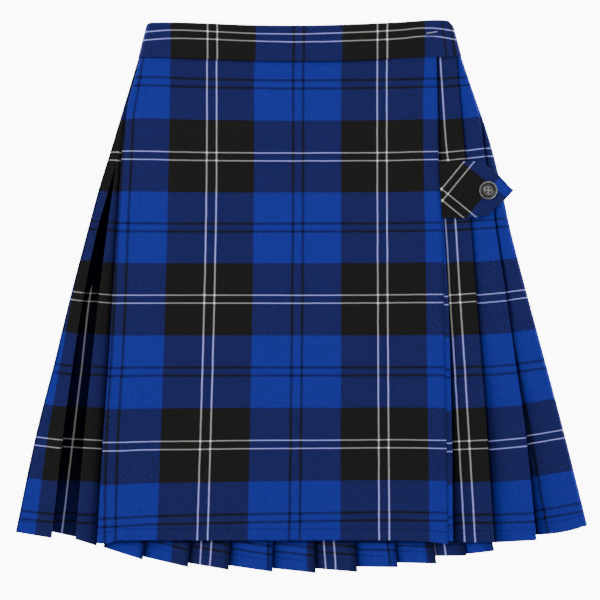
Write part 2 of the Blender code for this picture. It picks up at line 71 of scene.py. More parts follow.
# Heights (px) of the check's places down the front, and how far rows lie below them on each panel
DOWN_PX = (10.5, 83.5, 156.65, 227.05, 299.15, 371.4, 444.55, 517.65, 590.7)
DOWN_PLACES = (-1.0, -0.5, 0.0, 0.5, 1.0, 1.5, 2.0, 2.5, 3.0)
DROP_PX = (84, 156, 227, 295, 368, 441, 515)
SETT_LEVELS = (57, 200, 300, 430, 540)
SETT_ACROSS = (170.0, 171.5, 173.2, 178.0, 182.0)

# Lines down the front, in pixels: heights first, then how far across each line is at those heights
LEVELS_PX = (57.5, 110, 150, 190, 230, 300, 360, 430, 535)
OUTLINE_LEFT = (138.3, 122.5, 110.5, 98.1, 87.3, 69.0, 54.5, 36.6, 14.6)
OUTLINE_RIGHT = (462.4, 480.3, 492.7, 502.4, 510.9, 529.1, 545.2, 563.9, 590.1)
OVER_APRON_EDGE = (436.4, 437.7, 438.1, 440.0, 442.4, 443.9, 444.8, 446.3, 447.8)
APRON_FOLD = (139.7, 126.4, 121.6, 118.9, 116.5, 112.0, 108.4, 103.3, 97.0)
FOLD_L3 = (147.0, 130.0, 118.0, 112.3, 106.8, 98.0, 91.5, 84.4, 75.3)
FOLD_L1 = (146.0, 128.0, 119.8, 108.8, 97.6, 83.3, 73.7, 64.0, 52.1)
FOLD_R1 = (436.8, 438.1, 438.9, 441.6, 444.4, 448.7, 450.6, 452.3, 453.3)
FOLD_R2 = (456.9, 461.3, 464.9, 468.2, 471.6, 476.9, 481.8, 487.2, 494.2)
FOLD_R3 = (460.9, 478.2, 484.7, 491.5, 496.5, 507.3, 515.7, 525.8, 536.4)

# Where a stripe of the check lies on each panel of the sides, and which place in the check it is
STRIPE_R1 = (451.0, 451.5, 452.3, 453.5, 454.8, 459.0, 460.7, 462.3, 463.3)
STRIPE_R2 = (435.6, 438.9, 442.0, 447.6, 451.2, 455.4, 459.4, 463.6, 469.7)
STRIPE_R4 = (448.0, 463.0, 473.0, 482.0, 490.0, 504.0, 517.0, 530.0, 548.6)
STRIPE_L1 = (138.0, 118.0, 106.0, 97.0, 88.0, 71.7, 61.3, 48.9, 35.0)
STRIPE_L2 = (139.0, 124.0, 119.0, 112.0, 103.0, 89.1, 82.3, 73.9, 61.4)
U_R1 = 0.43
U_R2 = 0.0
U_R3_FROM_R2_FOLD = 0.2485
U_R3_SCALE = 1.08
U_R4 = 0.5287
U_L1 = -0.25
U_L2 = 0.0287
U_L3_AT_FOLD = 0.12

# How far rows lie below the apron's rows (px) at the left and the right of each panel, at DROP_PX
DROPS_R1 = ((0.0, 0.0, 0.7, 1.3, 2.0, 2.8, 3.8), (0.0, 0.0, 0.7, 1.3, 2.0, 2.8, 3.8))
DROPS_R2 = ((-0.6, 0.2, -0.3, 0.1, 0.5, 1.2, 1.5), (-2.0, -2.2, -2.0, -1.9, -0.9, -0.5, 0.8))
DROPS_R3 = ((-2.0, -2.1, -2.0, 0.1, 0.0, 1.1, 1.4), (-2.8, -4.4, -3.5, -2.6, -3.1, -2.7, -0.4))
DROPS_R4 = ((-3.0, -4.4, -3.9, -2.8, -3.2, -4.3, -2.1), (-3.0, -4.5, -4.8, -5.7, -7.8, -11.1, -10.5))
DROPS_L1 = ((0.0, -0.5, -2.7, -4.0, -3.8, -3.7, -3.1), (0.0, -0.5, -1.3, -2.0, -1.2, -0.3, 0.7))
DROPS_L2 = ((0.0, -0.3, -1.5, -2.0, -1.8, -2.0, -1.2), (0.0, -0.3, -1.3, -1.7, -1.2, -0.7, -0.4))
DROPS_L3 = ((0.0, -0.2, -1.0, -1.2, -1.1, -1.0, 0.7), (0.0, 0.0, -0.5, -0.2, 0.0, 0.3, 1.6))

# How far rows lie below their mean place (px) across the apron, at DROP_PX: each line of the table is one
# height. Then the apron's left thin lines and the edge of its left black stripe.
APRON_PX = (100, 122, 142, 180, 260, 320, 400, 430, 444)
APRON_DROPS = (
    (-0.5, -0.7, -2.4, -1.3, 0.5, 0.7, -0.1, -0.8, -0.8), (-1.8, -1.5, -1.5, -0.6, 0.2, 0.2, -0.3, -1.1, -1.1),
    (0.3, 0.0, 0.2, 0.3, 0.5, 0.4, 0.0, -0.5, -0.7), (0.0, 0.0, 0.0, 0.0, 0.0, 0.1, -0.4, -0.7, -0.7),
    (0.6, 0.5, 0.2, 0.1, 0.0, 0.1, -0.2, -0.3, 0.1), (2.1, 1.9, 1.2, 0.9, 0.0, -0.2, -0.7, -0.4, -0.1),
    (5.0, 4.2, 3.0, 2.0, 0.5, -0.5, -1.6, -1.0, -0.9),
)
# How far right (px) the apron's stripes lie of an even check, by their place in it
APRON_STRIPES_RIGHT = (
    (0.0, 0.03, 0.25, 0.47, 0.53, 0.75, 0.97, 1.0), (0.0, 0.0, -0.3, 1.3, 1.4, 2.0, 0.2, 0.0),
)
LEFT_LEVELS_PX = (57.5, 98, 117, 140, 220, 330, 440, 540)
LEFT_THIN_OUTER = (132.5, 128.5, 125.4, 123.6, 118.5, 113.0, 106.6, 104.6)
LEFT_THIN_INNER = (143.9, 136.8, 133.1, 132.3, 128.4, 124.3, 117.9, 115.3)
LEFT_BLACK = (170.3, 170.0, 169.8, 169.3, 167.6, 164.8, 160.9, 157.0)

# Folds of the back (mm): where the inner end of each shows at the hem, the hem there, and the hem at the
# left end of the panel that comes from under it
BACK_ENDS = (
    (266.0, -217.1, -221.4), (246.0, -221.8, -229.0), (218.0, -230.4, -232.3), (186.9, -242.6, -245.8),
    (159.2, -247.1, -247.6), (129.6, -254.6, -254.0), (92.2, -258.1, -257.8), (53.3, -262.6, -259.6),
    (13.8, -263.6, -259.4), (-27.2, -262.5, -256.8), (-68.9, -260.6, -254.4), (-107.9, -257.9, -248.4),
    (-152.3, -250.8, -239.6), (-192.2, -234.4, -224.2), (-222.4, -223.3, -221.4), (-250.8, -221.4, -221.4),
)
# The last strip that shows at the left, and the hem of hidden cloth that has to end above what shows
LAST_STRIP = 12
TUCKED_HEM = -233.4
# The check's place at each inner end
BACK_CHECK = (
    0.53, 0.87, 0.2, 0.545, 0.853, 0.197, 0.484, 0.847,
    0.2, 0.501, 0.86, 0.146, 0.518, 0.853, 0.187, 0.53,
)
BACK_SETT = 174 * MM_PER_PIXEL
BACK_WAIST_Y = 226.0
BACK_HEM_Y = -260.0
BACK_START_GAP = 1.5
BACK_END_GAP = 8.0
CLOTH_PER_PLEAT = 55.0
LARGEST_HEM_UNDERLAY = 14.0
FAN_X = -7.6
FAN_Y = 810.4
BACK_WAIST_RADIUS = 603.7
BACK_BAND_RADIUS = 569.5

FRONT_WAIST_Y = 222.3
FRONT_WAIST_RISE = 4.7
HALF_WAIST = 150.0
FRONT_HEM_Y = -233.2


def across(px):
    """X in millimetres of a pixel column."""
    return (px - ORIGIN_PX[0]) * MM_PER_PIXEL


def up(py):
    """Y in millimetres of a pixel row."""
    return (ORIGIN_PX[1] - py) * MM_PER_PIXEL


def mix(a, b, share):
    """The value that lies this share of the way from a to b."""
    return a + (b - a) * share


def smooth(share):
    """0 to 1 with soft ends."""
    share = min(max(share, 0.0), 1.0)
    return share ** 2 * (3 - 2 * share)


def through(levels, places, at):
    """A smooth line through places at falling or rising levels, straight past the ends."""
    slopes = [(b - a) / (q - p) for a, b, p, q in zip(places, places[1:], levels, levels[1:])]
    tangents = [slopes[0], *((a + b) / 2 for a, b in zip(slopes, slopes[1:])), slopes[-1]]
    falling = levels[-1] < levels[0]
    if (at >= levels[0]) == falling or at == levels[0]:
        return places[0] + tangents[0] * (at - levels[0])
    if (at <= levels[-1]) == falling or at == levels[-1]:
        return places[-1] + tangents[-1] * (at - levels[-1])
    i = sum((at < level) == falling and at != level for level in levels[1:-1])
    length = levels[i + 1] - levels[i]
    share = (at - levels[i]) / length
    bend_in = share * (1 - share) ** 2 * length * tangents[i]
    bend_out = share ** 2 * (share - 1) * length * tangents[i + 1]
    return mix(places[i], places[i + 1], share ** 2 * (3 - 2 * share)) + bend_in + bend_out


LEVELS = tuple(up(py) for py in LEVELS_PX)
_known = {}


def line(places_px, y):
    """X in millimetres at height y of a line that is given in pixels."""
    key = (places_px, round(y, 4))
    if key not in _known:
        _known[key] = through(LEVELS, [across(px) for px in places_px], y)
    return _known[key]


def sett(y):
    """Width of the check at height y, in millimetres."""
    return through([up(py) for py in SETT_LEVELS], [px * MM_PER_PIXEL for px in SETT_ACROSS], y)


def arc_y(x, radius):
    """Height of an arc about the fan's point."""
    return FAN_Y - math.sqrt(radius ** 2 - (x - FAN_X) ** 2)


def front_waist_y(x):
    """Height of the waist seam along the front."""
    return FRONT_WAIST_Y + FRONT_WAIST_RISE * (x / HALF_WAIST) ** 2


def turn_centres(y):
    """Centres of the right and left turns of the tube at height y."""
    inset = TURN_RADIUS + CLOTH / 2
    return line(OUTLINE_RIGHT, y) - inset, line(OUTLINE_LEFT, y) + inset


def whole_way_round(y):
    """Length once round the tube's skin."""
    right, left = turn_centres(y)
    return 2 * TURN_LENGTH + 2 * (right - left)


def place_on_tube(way, depth, y):
    """Point that lies this way round the tube and this deep under its skin."""
    right, left = turn_centres(y)
    radius = TURN_RADIUS - depth
    back_start = right + TURN_LENGTH
    back_end = back_start + right - left
    if way <= right:
        return way, CENTRE_Z + radius
    if way <= back_start:
        angle = (way - right) / TURN_RADIUS
        return right + radius * math.sin(angle), CENTRE_Z + radius * math.cos(angle)
    if way <= back_end:
        return right - (way - back_start), CENTRE_Z - radius
    if way <= back_end + TURN_LENGTH:
        angle = (way - back_end) / TURN_RADIUS
        return left - radius * math.sin(angle), CENTRE_Z - radius * math.cos(angle)
    return way - whole_way_round(y), CENTRE_Z + radius


def share_behind(way, y):
    """0 along the front, 1 along the back, and between them round a side."""
    right, left = turn_centres(y)
    into_right = (way - right) / TURN_LENGTH
    into_left = (way - 2 * right + left - TURN_LENGTH) / TURN_LENGTH
    return min(max(into_right, 0.0), 1.0) - min(max(into_left, 0.0), 1.0)


def fold(way, under_waist, under_hem, outer_hem, inner_hem):
    """A fold: the way of its edge, its underlay at waist and hem, and its two hems."""
    return {
        "way": way, "waist": under_waist, "hem": under_hem, "outer_hem": outer_hem, "inner_hem": inner_hem,
    }


def front_fold(places_px, rounds, *rest):
    """A fold on the front, before the tube has gone round or after it has."""
    if rounds:
        return fold(lambda y: whole_way_round(y) + line(places_px, y), *rest)
    return fold(lambda y: line(places_px, y), *rest)


def underlay_at(one, y):
    """Width of the cloth turned back under a fold."""
    return mix(one["waist"], one["hem"], (LEVELS[0] - y) / (LEVELS[0] - LEVELS[-1]))


def back_folds():
    """The folds of the back, as in the solids."""
    count = len(BACK_ENDS)
    right, left = turn_centres(BACK_WAIST_Y)
    start = right - BACK_START_GAP
    pitch = (start - left - BACK_END_GAP) / count
    made = []
    outer_hem = -217.5
    for i, (inner_end, inner_hem, _) in enumerate(BACK_ENDS):
        before_this = max(i - 1, 0)
        after_this = min(i + 1, count - 1)
        hem_pitch = (BACK_ENDS[before_this][0] - BACK_ENDS[after_this][0]) / (after_this - before_this)
        underlay = min((CLOTH_PER_PLEAT - hem_pitch) / 2, LARGEST_HEM_UNDERLAY)
        if i:
            inner_before, hem_before, end_hem_before = BACK_ENDS[i - 1]
            past = (inner_before - inner_end + underlay) / (inner_before - inner_end)
            outer_hem = mix(hem_before, end_hem_before, past)
        waist_x = start - pitch * (i + 1)
        made.append(back_fold(waist_x, inner_end - underlay, pitch - 2.8, underlay, outer_hem, inner_hem))
    return made


def back_fold(waist_x, hem_x, under_waist, under_hem, outer_hem, inner_hem):
    """A straight fold of the back between its places at the waist and the hem."""

    def way(y):
        right, _ = turn_centres(y)
        share = (BACK_WAIST_Y - y) / (BACK_WAIST_Y - BACK_HEM_Y)
        return 2 * right + TURN_LENGTH - mix(waist_x, hem_x, share)

    return fold(way, under_waist, under_hem, outer_hem, inner_hem)


def station(way, depth, hem, check, shade=0.0):
    """One line of the cloth from waist to hem.

    check(way, y) is its place across the check, and how far its rows lie below the apron's, or None where
    they are measured from the hem. shade is painted shade: how far the colour is darkened where the folds
    beside it would keep light off, a number or a function of the height.
    """
    return {"way": way, "depth": depth, "hem": hem, "check": check, "shade": shade}


def beside(one, shift, underlays=0.0):
    """Way of a line beside a fold: a shift, and a number of the fold's underlays."""
    return lambda y: one["way"](y) + shift + underlays * underlay_at(one, y)


def turn(one, sign, inner, check):
    """Lines round the outer or the inner turn of a fold."""
    hem = one["inner_hem"] if inner else one["outer_hem"]
    underlays = -sign if inner else 0.0
    side = -sign if inner else sign
    made = []
    for step in range(FOLD_STEPS + 1):
        angle = math.pi * step / FOLD_STEPS
        shift = side * (FOLD_RADIUS * math.sin(angle) - FOLD_EDGE)
        depth = FOLD_RADIUS * (1 - math.cos(angle)) + (LAYER if inner else 0.0)
        # an inner turn gets painted shade
        made.append(station(beside(one, shift, underlays), depth, hem, check, 0.5 if inner else 0.0))
    return made[::sign]


def spread(start, end, hem_start, hem_end, depth, check, steps, shade, inner_ends=True):
    """Lines of a panel between two ways. depth and shade are functions of the share of the way."""
    made = []
    for step in range(steps + 1):
        share = step / steps
        if not inner_ends and step in (0, steps):
            continue

        def way(y, share=share):
            return mix(start(y), end(y), share)

        made.append(station(way, depth(share), mix(hem_start, hem_end, share), check, shade(share)))
    return made


def drop_at(drops, y):
    """How far rows lie below the apron's at height y, in pixels."""
    key = (drops, round(y, 4))
    if key not in _known:
        _known[key] = through([up(py) for py in DROP_PX], drops, y)
    return _known[key]


def check_down(y):
    """Place down the check at height y on the middle of the front."""
    return through([up(py) for py in DOWN_PX], DOWN_PLACES, y)


def stripe(places_px, value, panel, drops, rounds=False, scale=1.0):
    """Place in the check from a stripe that was measured on the photograph.

    panel is the panel's left and right line, and drops how far its rows lie below the apron's at each.
    """

    def check(way, y):
        x = way - whole_way_round(y) if rounds else way
        left, right = line(panel[0], y), line(panel[1], y)
        share = min(max((x - left) / max(right - left, 1.0), -0.2), 1.3)
        drop = mix(drop_at(drops[0], y), drop_at(drops[1], y), share)
        return value + (x - line(places_px, y)) / (sett(y) * scale), drop

    return check


def apron_drop(x, y):
    """How far rows lie below their mean place on the over-apron, in pixels."""
    key = ("apron", round(y, 4))
    if key not in _known:
        _known[key] = [drop_at(column, y) for column in zip(*APRON_DROPS)]
    places = [across(px) for px in APRON_PX]
    return through(places, _known[key], min(max(x, places[0]), places[-1]))


def apron_check(way, y):
    x = way - whole_way_round(y)
    key = ("check", round(y, 4))
    if key not in _known:
        levels = [up(py) for py in (57, 190, 300, 540)]
        left_levels = [up(py) for py in LEFT_LEVELS_PX]
        first = through(levels, [across(px) for px in (211.7, 211.4, 209.3, 202.3)], y)
        second = through(levels, [across(px) for px in (382, 382.1, 382.7, 384.2)], y)
        lines = [through(left_levels, [across(px) for px in row], y)
                 for row in (LEFT_THIN_OUTER, LEFT_THIN_INNER, LEFT_BLACK)]
        right_scale = through([up(py) for py in (57, 100, 140, 200, 240)], (1.0, 0.963, 0.968, 0.985, 1.0), y)
        _known[key] = first, second, lines, right_scale
    first, second, (outer, inner, black), right_scale = _known[key]
    if x > second:
        place = 1 + (x - second) / ((second - first) * min(max(right_scale, 0.96), 1.0))
    elif x > black:
        place = (x - first) / (second - first) if x > first else -0.25 * (first - x) / (first - black)
        if x > first:
            place -= through(*APRON_STRIPES_RIGHT, place) * MM_PER_PIXEL / (second - first)
    elif x > inner:
        place = mix(-0.4713, -0.25, (x - inner) / (black - inner))
    else:
        place = mix(-0.5287, -0.4713, (x - outer) / (inner - outer))
    return place, apron_drop(x, y)


# Soft troughs and ridges: the middle (px), the half-length and half-width (mm), the lean from upright
# (degrees) and the height (mm). Those of the back are seen through from the front.
FRONT_RIDGES = (
    (186, 120, 62, 13, 4, 0.55), (232, 104, 40, 10, -5, 0.40), (262, 170, 88, 22, 3, 0.50),
    (322, 112, 48, 12, -2, 0.50), (356, 210, 110, 24, -4, 0.55), (408, 120, 58, 11, 5, 0.65),
    (424, 330, 120, 14, -3, 0.60), (150, 300, 130, 15, 5, 0.70), (206, 420, 96, 26, 4, 0.55),
    (300, 470, 66, 20, -6, 0.50), (372, 452, 74, 17, 2, 0.60), (128, 470, 60, 12, 7, 0.55),
    (470, 330, 70, 7, -7, 0.35), (516, 430, 90, 9, -11, 0.45), (58, 430, 80, 8, 14, 0.40),
    (240, 300, 34, 12, 62, 0.35), (338, 352, 30, 10, 118, 0.30), (176, 232, 26, 9, 80, 0.30),
)
BACK_RIDGES = (
    (170, 150, 70, 12, 10, 0.50), (236, 260, 90, 18, 5, 0.60), (300, 180, 110, 14, 0, 0.45),
    (352, 330, 80, 20, -5, 0.60), (420, 240, 100, 13, -9, 0.55), (470, 400, 70, 15, -12, 0.50),
    (130, 420, 84, 16, 13, 0.55), (268, 440, 60, 22, 4, 0.45), (392, 470, 54, 12, -6, 0.50),
)


BACK_RISE = 0.55
# Sum of the painted shades at a face's corners from which it takes the shaded copy of the cloth, which has no
# gloss
SHADED_COPY_CORNERS = 1.2


def rise(x, y, ridges):
    """Height that the soft ridges give the cloth at a place."""
    total = 0.0
    for px, py, half_length, half_width, lean, height in ridges:
        dx, dy = x - across(px), y - up(py)
        angle = math.radians(lean)
        along = -dx * math.sin(angle) + dy * math.cos(angle)
        aside = dx * math.cos(angle) + dy * math.sin(angle)
        total += height * math.exp(-(along / half_length) ** 2 - (aside / half_width) ** 2)
    return total


def object_from(model, name):
    """An object of the scene with a bmesh for its mesh."""
    mesh = bpy.data.meshes.new(name)
    model.to_mesh(mesh)
    model.free()
    made = bpy.data.objects.new(name, mesh)
    bpy.context.scene.collection.objects.link(made)
    return made


def thin_shell(name, points, checks, shades, heights):
    """A shell through a grid of points, with its place in the check as a UV map.

    Faces that lie in deep painted shade take the second material, a shaded copy of the cloth without gloss.
    """
    model = bmesh.new()
    cloth = model.loops.layers.uv.new("cloth")
    dark = model.verts.layers.float.new("shade")
    over_hem = model.verts.layers.float.new("over_hem")
    grid = []
    for column, shade, above in zip(points, shades, heights):
        verts = [model.verts.new(Vector(point) * MM) for point in column]
        for vert, share, height in zip(verts, shade, above):
            vert[dark] = share
            vert[over_hem] = height
        grid.append(verts)
    for i in range(len(grid) - 1):
        for j in range(len(grid[i]) - 1):
            corners = ((i, j), (i, j + 1), (i + 1, j + 1), (i + 1, j))
            face = model.faces.new([grid[a][b] for a, b in corners])
            face.smooth = True
            face.material_index = int(sum(shades[a][b] for a, b in corners) > SHADED_COPY_CORNERS)
            for loop, (a, b) in zip(face.loops, corners):
                loop[cloth].uv = checks[a][b]
    thing = object_from(model, name)
    solid = thing.modifiers.new("cloth", "SOLIDIFY")
    solid.thickness = CLOTH * MM
    solid.offset = 0.0
    return thing


def cloth_from_stations(name, stations, cover=None):
    """Thin cloth through its lines."""
    points, checks, shades, heights = [], [], [], []
    for one in stations:
        top = LEVELS[0]
        way = one["way"](top)
        x, _ = place_on_tube(way, one["depth"], top)
        behind = share_behind(way, top)
        waist = mix(front_waist_y(x), arc_y(x, BACK_WAIST_RADIUS), behind) + TUCK
        column, placed = [], []
        last = None
        levels = [mix(waist, one["hem"], share) for share in ROW_SHARES]
        for y in levels:
            way = one["way"](y)
            depth = one["depth"]
            if cover:
                depth = cover(way, y, depth)
            x, z = place_on_tube(way, depth, y)
            behind = share_behind(way, y)
            z += mix(rise(x, y, FRONT_RIDGES), BACK_RISE * rise(x, y, BACK_RIDGES), behind)
            column.append((x, y, z))
            place, drop = one["check"](way, y)
            placed.append([place, None if drop is None else check_down(y + drop * MM_PER_PIXEL)])
        below = 0.0
        for point, place in zip(column[::-1], placed[::-1]):
            if last is not None:
                below += math.dist(last[:2], point[:2])
            last = point
            if place[1] is None:
                place[1] = BACK_HEM_V - below / SETT_DOWN
        points.append(column)
        checks.append(placed)
        shade = one["shade"]
        shades.append([shade(y) if callable(shade) else shade for y in levels])
        heights.append([y - one["hem"] for y in levels])
    return thin_shell(name, points, checks, shades, heights)


def level(value):
    """A function that has the same value all along."""
    return lambda share: value


def climbs(share):
    """Depth of a panel that comes from under a fold up to the skin."""
    return STACK * (1 - smooth(share))


def darkest_at_start(share):
    """Shade beside the fold that a panel comes from under: narrow at the top, and wider down the pleat."""

    def shade(y):
        down = min(max((up(150) - y) / (up(150) - up(420)), 0.0), 1.0)
        return mix(0.6, 0.9, down) * math.exp(-share * mix(14.0, 5.5, down))

    return shade


def darkest_at_end(share):
    """Shade beside the fold that a panel goes under."""
    return 0.85 * math.exp(-(1 - share) * 3.2)


def deep_at_start(share):
    """Shade on the last panel at the right, which lies deeper beside its fold."""
    return lambda y: max(
        darkest_at_start(share)(y),
        0.72 * (1 - smooth((share * line_gap(y) - 1.6) / 2.4)) * smooth((up(112) - y) / (up(112) - up(140))),
    )


def line_gap(y):
    """Width (mm) of the last panel at the right."""
    return max(line(OUTLINE_RIGHT, y) - line(FOLD_R3, y), 1.0)


def end_seam(one, shift, check):
    """Line in the underlay of a fold where one piece of cloth ends and the next one starts."""
    return station(beside(one, shift, -0.5), LAYER, mix(one["outer_hem"], one["inner_hem"], 0.5), check, 0.3)


def make_right():
    """The right pleats of the front, and the panel that goes round the side."""
    r1 = front_fold(FOLD_R1, 0, 15.0, 8.0, -233.4, -234.0)
    r2 = front_fold(FOLD_R2, 0, 5.0, 8.0, -234.0, -234.5)
    r3 = front_fold(FOLD_R3, 0, 2.4, 8.0, -232.2, -227.0)
    r4 = BACK_FOLDS[0]
    check_1 = stripe(STRIPE_R1, U_R1, (OVER_APRON_EDGE, FOLD_R1), DROPS_R1)
    check_2 = stripe(STRIPE_R2, U_R2, (FOLD_R1, FOLD_R2), DROPS_R2)
    check_3 = stripe(FOLD_R2, U_R3_FROM_R2_FOLD, (FOLD_R2, FOLD_R3), DROPS_R3, scale=U_R3_SCALE)
    check_4 = stripe(STRIPE_R4, U_R4, (FOLD_R3, OUTLINE_RIGHT), DROPS_R4)
    start = beside(r1, 0.3 - 24.0)
    made = spread(start, beside(r1, -PAST_TURN - 0.1), -233.0, -233.0, level(0.0), check_1, 4, level(0.0))
    for one, after, check, next_check in ((r1, r2, check_1, check_2), (r2, r3, check_2, check_3)):
        made += turn(one, 1, False, check)
        made += turn(one, 1, True, next_check)
        hems = one["inner_hem"], after["outer_hem"]
        made += spread(
            beside(one, 0.2), beside(after, -PAST_TURN), *hems, climbs, next_check, 9, darkest_at_start
        )
    made += turn(r3, 1, False, check_3)
    made += turn(r3, 1, True, check_4)

    def ramp_end(y):
        return max(turn_centres(y)[0] - 0.2, r3["way"](y) + 5.2)

    last_panel = spread(beside(r3, 0.2), ramp_end, -227.0, -219.0, climbs, check_4, 9, deep_at_start)
    for step, one in enumerate(last_panel):
        one["hem"] = mix(-227.0, -219.0, (step / 9) ** 1.95)
    made += last_panel

    def turn_start(y):
        return max(turn_centres(y)[0], ramp_end(y) + 0.7)

    def turn_end(y):
        return min(turn_centres(y)[0] + TURN_LENGTH, r4["way"](y) - underlay_at(r4, y) - 0.7)

    # painted shade on the turn round the right side, darker past its middle
    made += spread(
        turn_start, turn_end, -219.0, -217.5, level(0.0), check_4, 8, lambda s: 0.5 * smooth(s / 0.5)
    )
    made += turn(r4, 1, False, check_4)
    made.append(end_seam(r4, 0.15, check_4))
    return cloth_from_stations("right_pleats_cloth", made)


def back_check(i):
    inner = beside(BACK_FOLDS[i], 0.0, -1.0)
    return lambda way, y: (BACK_CHECK[i] + (way - inner(y)) / BACK_SETT, None)


def make_back():
    """The knife pleats of the back."""
    folds = BACK_FOLDS
    made = [end_seam(folds[0], -0.15, back_check(0))]
    made += turn(folds[0], 1, True, back_check(0))
    for i, (one, after) in enumerate(zip(folds, folds[1:])):
        check = back_check(i)
        start = beside(one, 0.2)
        ramp_end = beside(after, -0.4, -1.0)
        end = beside(after, -PAST_TURN)
        first = beside(one, 0.0, -1.0)(BACK_HEM_Y)
        width = after["way"](BACK_HEM_Y) - first

        def hem_at(way, one=one, after=after, first=first, width=width):
            return mix(one["inner_hem"], after["outer_hem"], (way(BACK_HEM_Y) - first) / width)

        # painted shade at the left end of each strip, beside the fold that lies over it
        made += spread(
            start, ramp_end, hem_at(start), hem_at(ramp_end), climbs, check, 10,
            lambda s: 0.85 * math.exp((s - 1) * 8),
        )
        if i == LAST_STRIP:
            made.append(station(beside(after, 0.7, -1.0), 0.0, hem_at(ramp_end), check, 0.85))
            tucked = beside(after, 1.3, -1.0)
            made += spread(tucked, end, TUCKED_HEM, TUCKED_HEM, level(0.0), check, 3, level(0.85))[:-1]
            made += turn(dict(after, outer_hem=TUCKED_HEM), 1, False, check)
        else:
            made += spread(
                ramp_end, end, hem_at(ramp_end), hem_at(end), level(0.0), check, 3, level(0.85), False
            )
            made += turn(after, 1, False, check)
        if i < len(folds) - 2:
            made += turn(after, 1, True, back_check(i + 1))
    made.append(end_seam(folds[-1], 0.15, back_check(len(folds) - 2)))
    for one in made:
        one["shade"] = below_the_front(one["shade"])
    return cloth_from_stations("back_pleats_cloth", made)


def below_the_front(shade):
    """Shade of a line of the back, with the shade just below the hem of the front added."""
    return lambda y: max(shade, 0.8 * math.exp(-abs(y - FRONT_HEM_Y) / 1.9))


def under_the_apron(way, y, depth):
    """Depth of a side pleat, pushed down where the over-apron's fold lies on it."""
    x = way - whole_way_round(y)
    return max(depth, STACK * smooth((x - line(APRON_FOLD, y) + 2.6) / 2.4))


def deep_shade(share):
    """Shade in the deep pleat, darkest at its left. Above 1 even the white line goes."""
    levels = [up(py) for py in (190, 262, 283, 299, 345, 460, 490, 535)]
    shades = (1.4, 1.4, 1.35, 0.93, 0.9, 0.9, 0.8, 0.62)
    middle = 0.06 * math.sin(math.pi * share)
    return lambda y: through(levels, shades, y) + 0.05 * (1 - share) - middle


def make_left():
    """The panel round the left side, and the deep pleat at the left of the front."""
    last = BACK_FOLDS[-1]
    l1 = front_fold(FOLD_L1, 1, 4.0, 8.0, -229.9, -224.4)
    l3 = front_fold(FOLD_L3, 1, 4.0, 8.0, -231.4, -229.0)
    apron = front_fold(APRON_FOLD, 1, 18.0, 18.0, -234.4, -237.5)
    whole_check_1 = stripe(STRIPE_L1, U_L1, (OUTLINE_LEFT, FOLD_L1), DROPS_L1, True)

    def check_1(way, y):
        return whole_check_1(min(way, l1["way"](y) - 3.0), y)

    whole_check_2 = stripe(STRIPE_L2, U_L2, (FOLD_L1, FOLD_L3), DROPS_L2, True)

    def check_2(way, y):
        place, drop = whole_check_2(way, y)
        return max(place, -0.012), drop

    check_3 = stripe(FOLD_L3, U_L3_AT_FOLD, (FOLD_L3, APRON_FOLD), DROPS_L3, True)
    made = [end_seam(last, -0.15, check_1)]
    made += turn(last, 1, True, check_1)

    def ramp_end(y):
        return last["way"](y) + 6.2

    def turn_start(y):
        right, left = turn_centres(y)
        return max(2 * right + TURN_LENGTH - left, ramp_end(y) + 0.7)

    def turn_end(y):
        right, left = turn_centres(y)
        return max(min(2 * right + 2 * TURN_LENGTH - left, l1["way"](y) - 3.0), turn_start(y) + 2.0)

    made += spread(beside(last, 0.2), ramp_end, last["inner_hem"], -224.4, climbs, check_1, 4, level(0.2))
    # painted shade on the turn round the left side, darkest towards the back
    made += spread(
        turn_start, turn_end, -224.4, -224.9, level(0.0), check_1, 8, lambda s: 0.95 * smooth((1 - s) / 0.32)
    )
    made += spread(
        turn_end, beside(l1, -PAST_TURN), -224.9, l1["outer_hem"], level(0.0), check_1, 7, level(0.0), False
    )
    made += turn(l1, 1, False, check_1)
    made += turn(l1, 1, True, check_2)
    made += spread(beside(l1, 0.2), beside(l3, -0.2), -224.4, -229.0, level(STACK), check_2, 6, deep_shade)
    made += turn(l3, -1, True, check_3)
    made += turn(l3, -1, False, check_3)

    made += spread(
        beside(l3, PAST_TURN), beside(apron, -0.2), l3["outer_hem"], apron["inner_hem"],
        lambda s: STACK * smooth(s), check_3, 9, darkest_at_end,
    )
    made.append(station(beside(apron, 0.7), STACK, TUCKED_HEM, check_3, 0.9))
    made += turn(dict(apron, inner_hem=TUCKED_HEM), -1, True, apron_check)
    made.append(station(beside(apron, -0.15, 0.5), LAYER, -233.8, apron_check, 0.5))
    return cloth_from_stations("left_pleats_cloth", made, under_the_apron)


def make_over_apron():
    """The front panel, from the seam in its own underlay to its free edge."""
    apron = front_fold(APRON_FOLD, 1, 18.0, 18.0, -235.1, -236.5)
    r1 = front_fold(FOLD_R1, 1, 15.0, 8.0, -233.0, -233.2)
    made = [station(beside(apron, 0.15, 0.5), LAYER, -234.0, apron_check, 0.5)]
    made += turn(apron, -1, False, apron_check)
    hem = -232.3
    flat = beside(apron, 21.0)
    run = beside(apron, 61.0)
    rises = beside(r1, -64.0)
    seam = beside(r1, -24.0)

    def free_edge(y):
        return whole_way_round(y) + line(OVER_APRON_EDGE, y)

    corner = spread(beside(apron, PAST_TURN), flat, -235.3, hem, level(0.0), apron_check, 4, level(0.0))
    for step, one in enumerate(corner):
        one["hem"] = mix(-235.3, hem, smooth(max(step / 4 - 0.38, 0.0) / 0.62))
    made += corner
    made += spread(flat, run, hem, hem, lambda s: LAYER * smooth(s), apron_check, 7, level(0.0), False)
    made += spread(run, rises, hem, hem, level(LAYER), apron_check, 24, level(0.0))
    made += spread(
        rises, seam, hem, hem - 1, lambda s: LAYER * (1 - 2 * smooth(s)), apron_check, 8, level(0.0), False
    )
    made += spread(seam, free_edge, hem - 1, -235.8, level(-LAYER), apron_check, 5, level(0.0))
    return cloth_from_stations("over_apron_cloth", made)


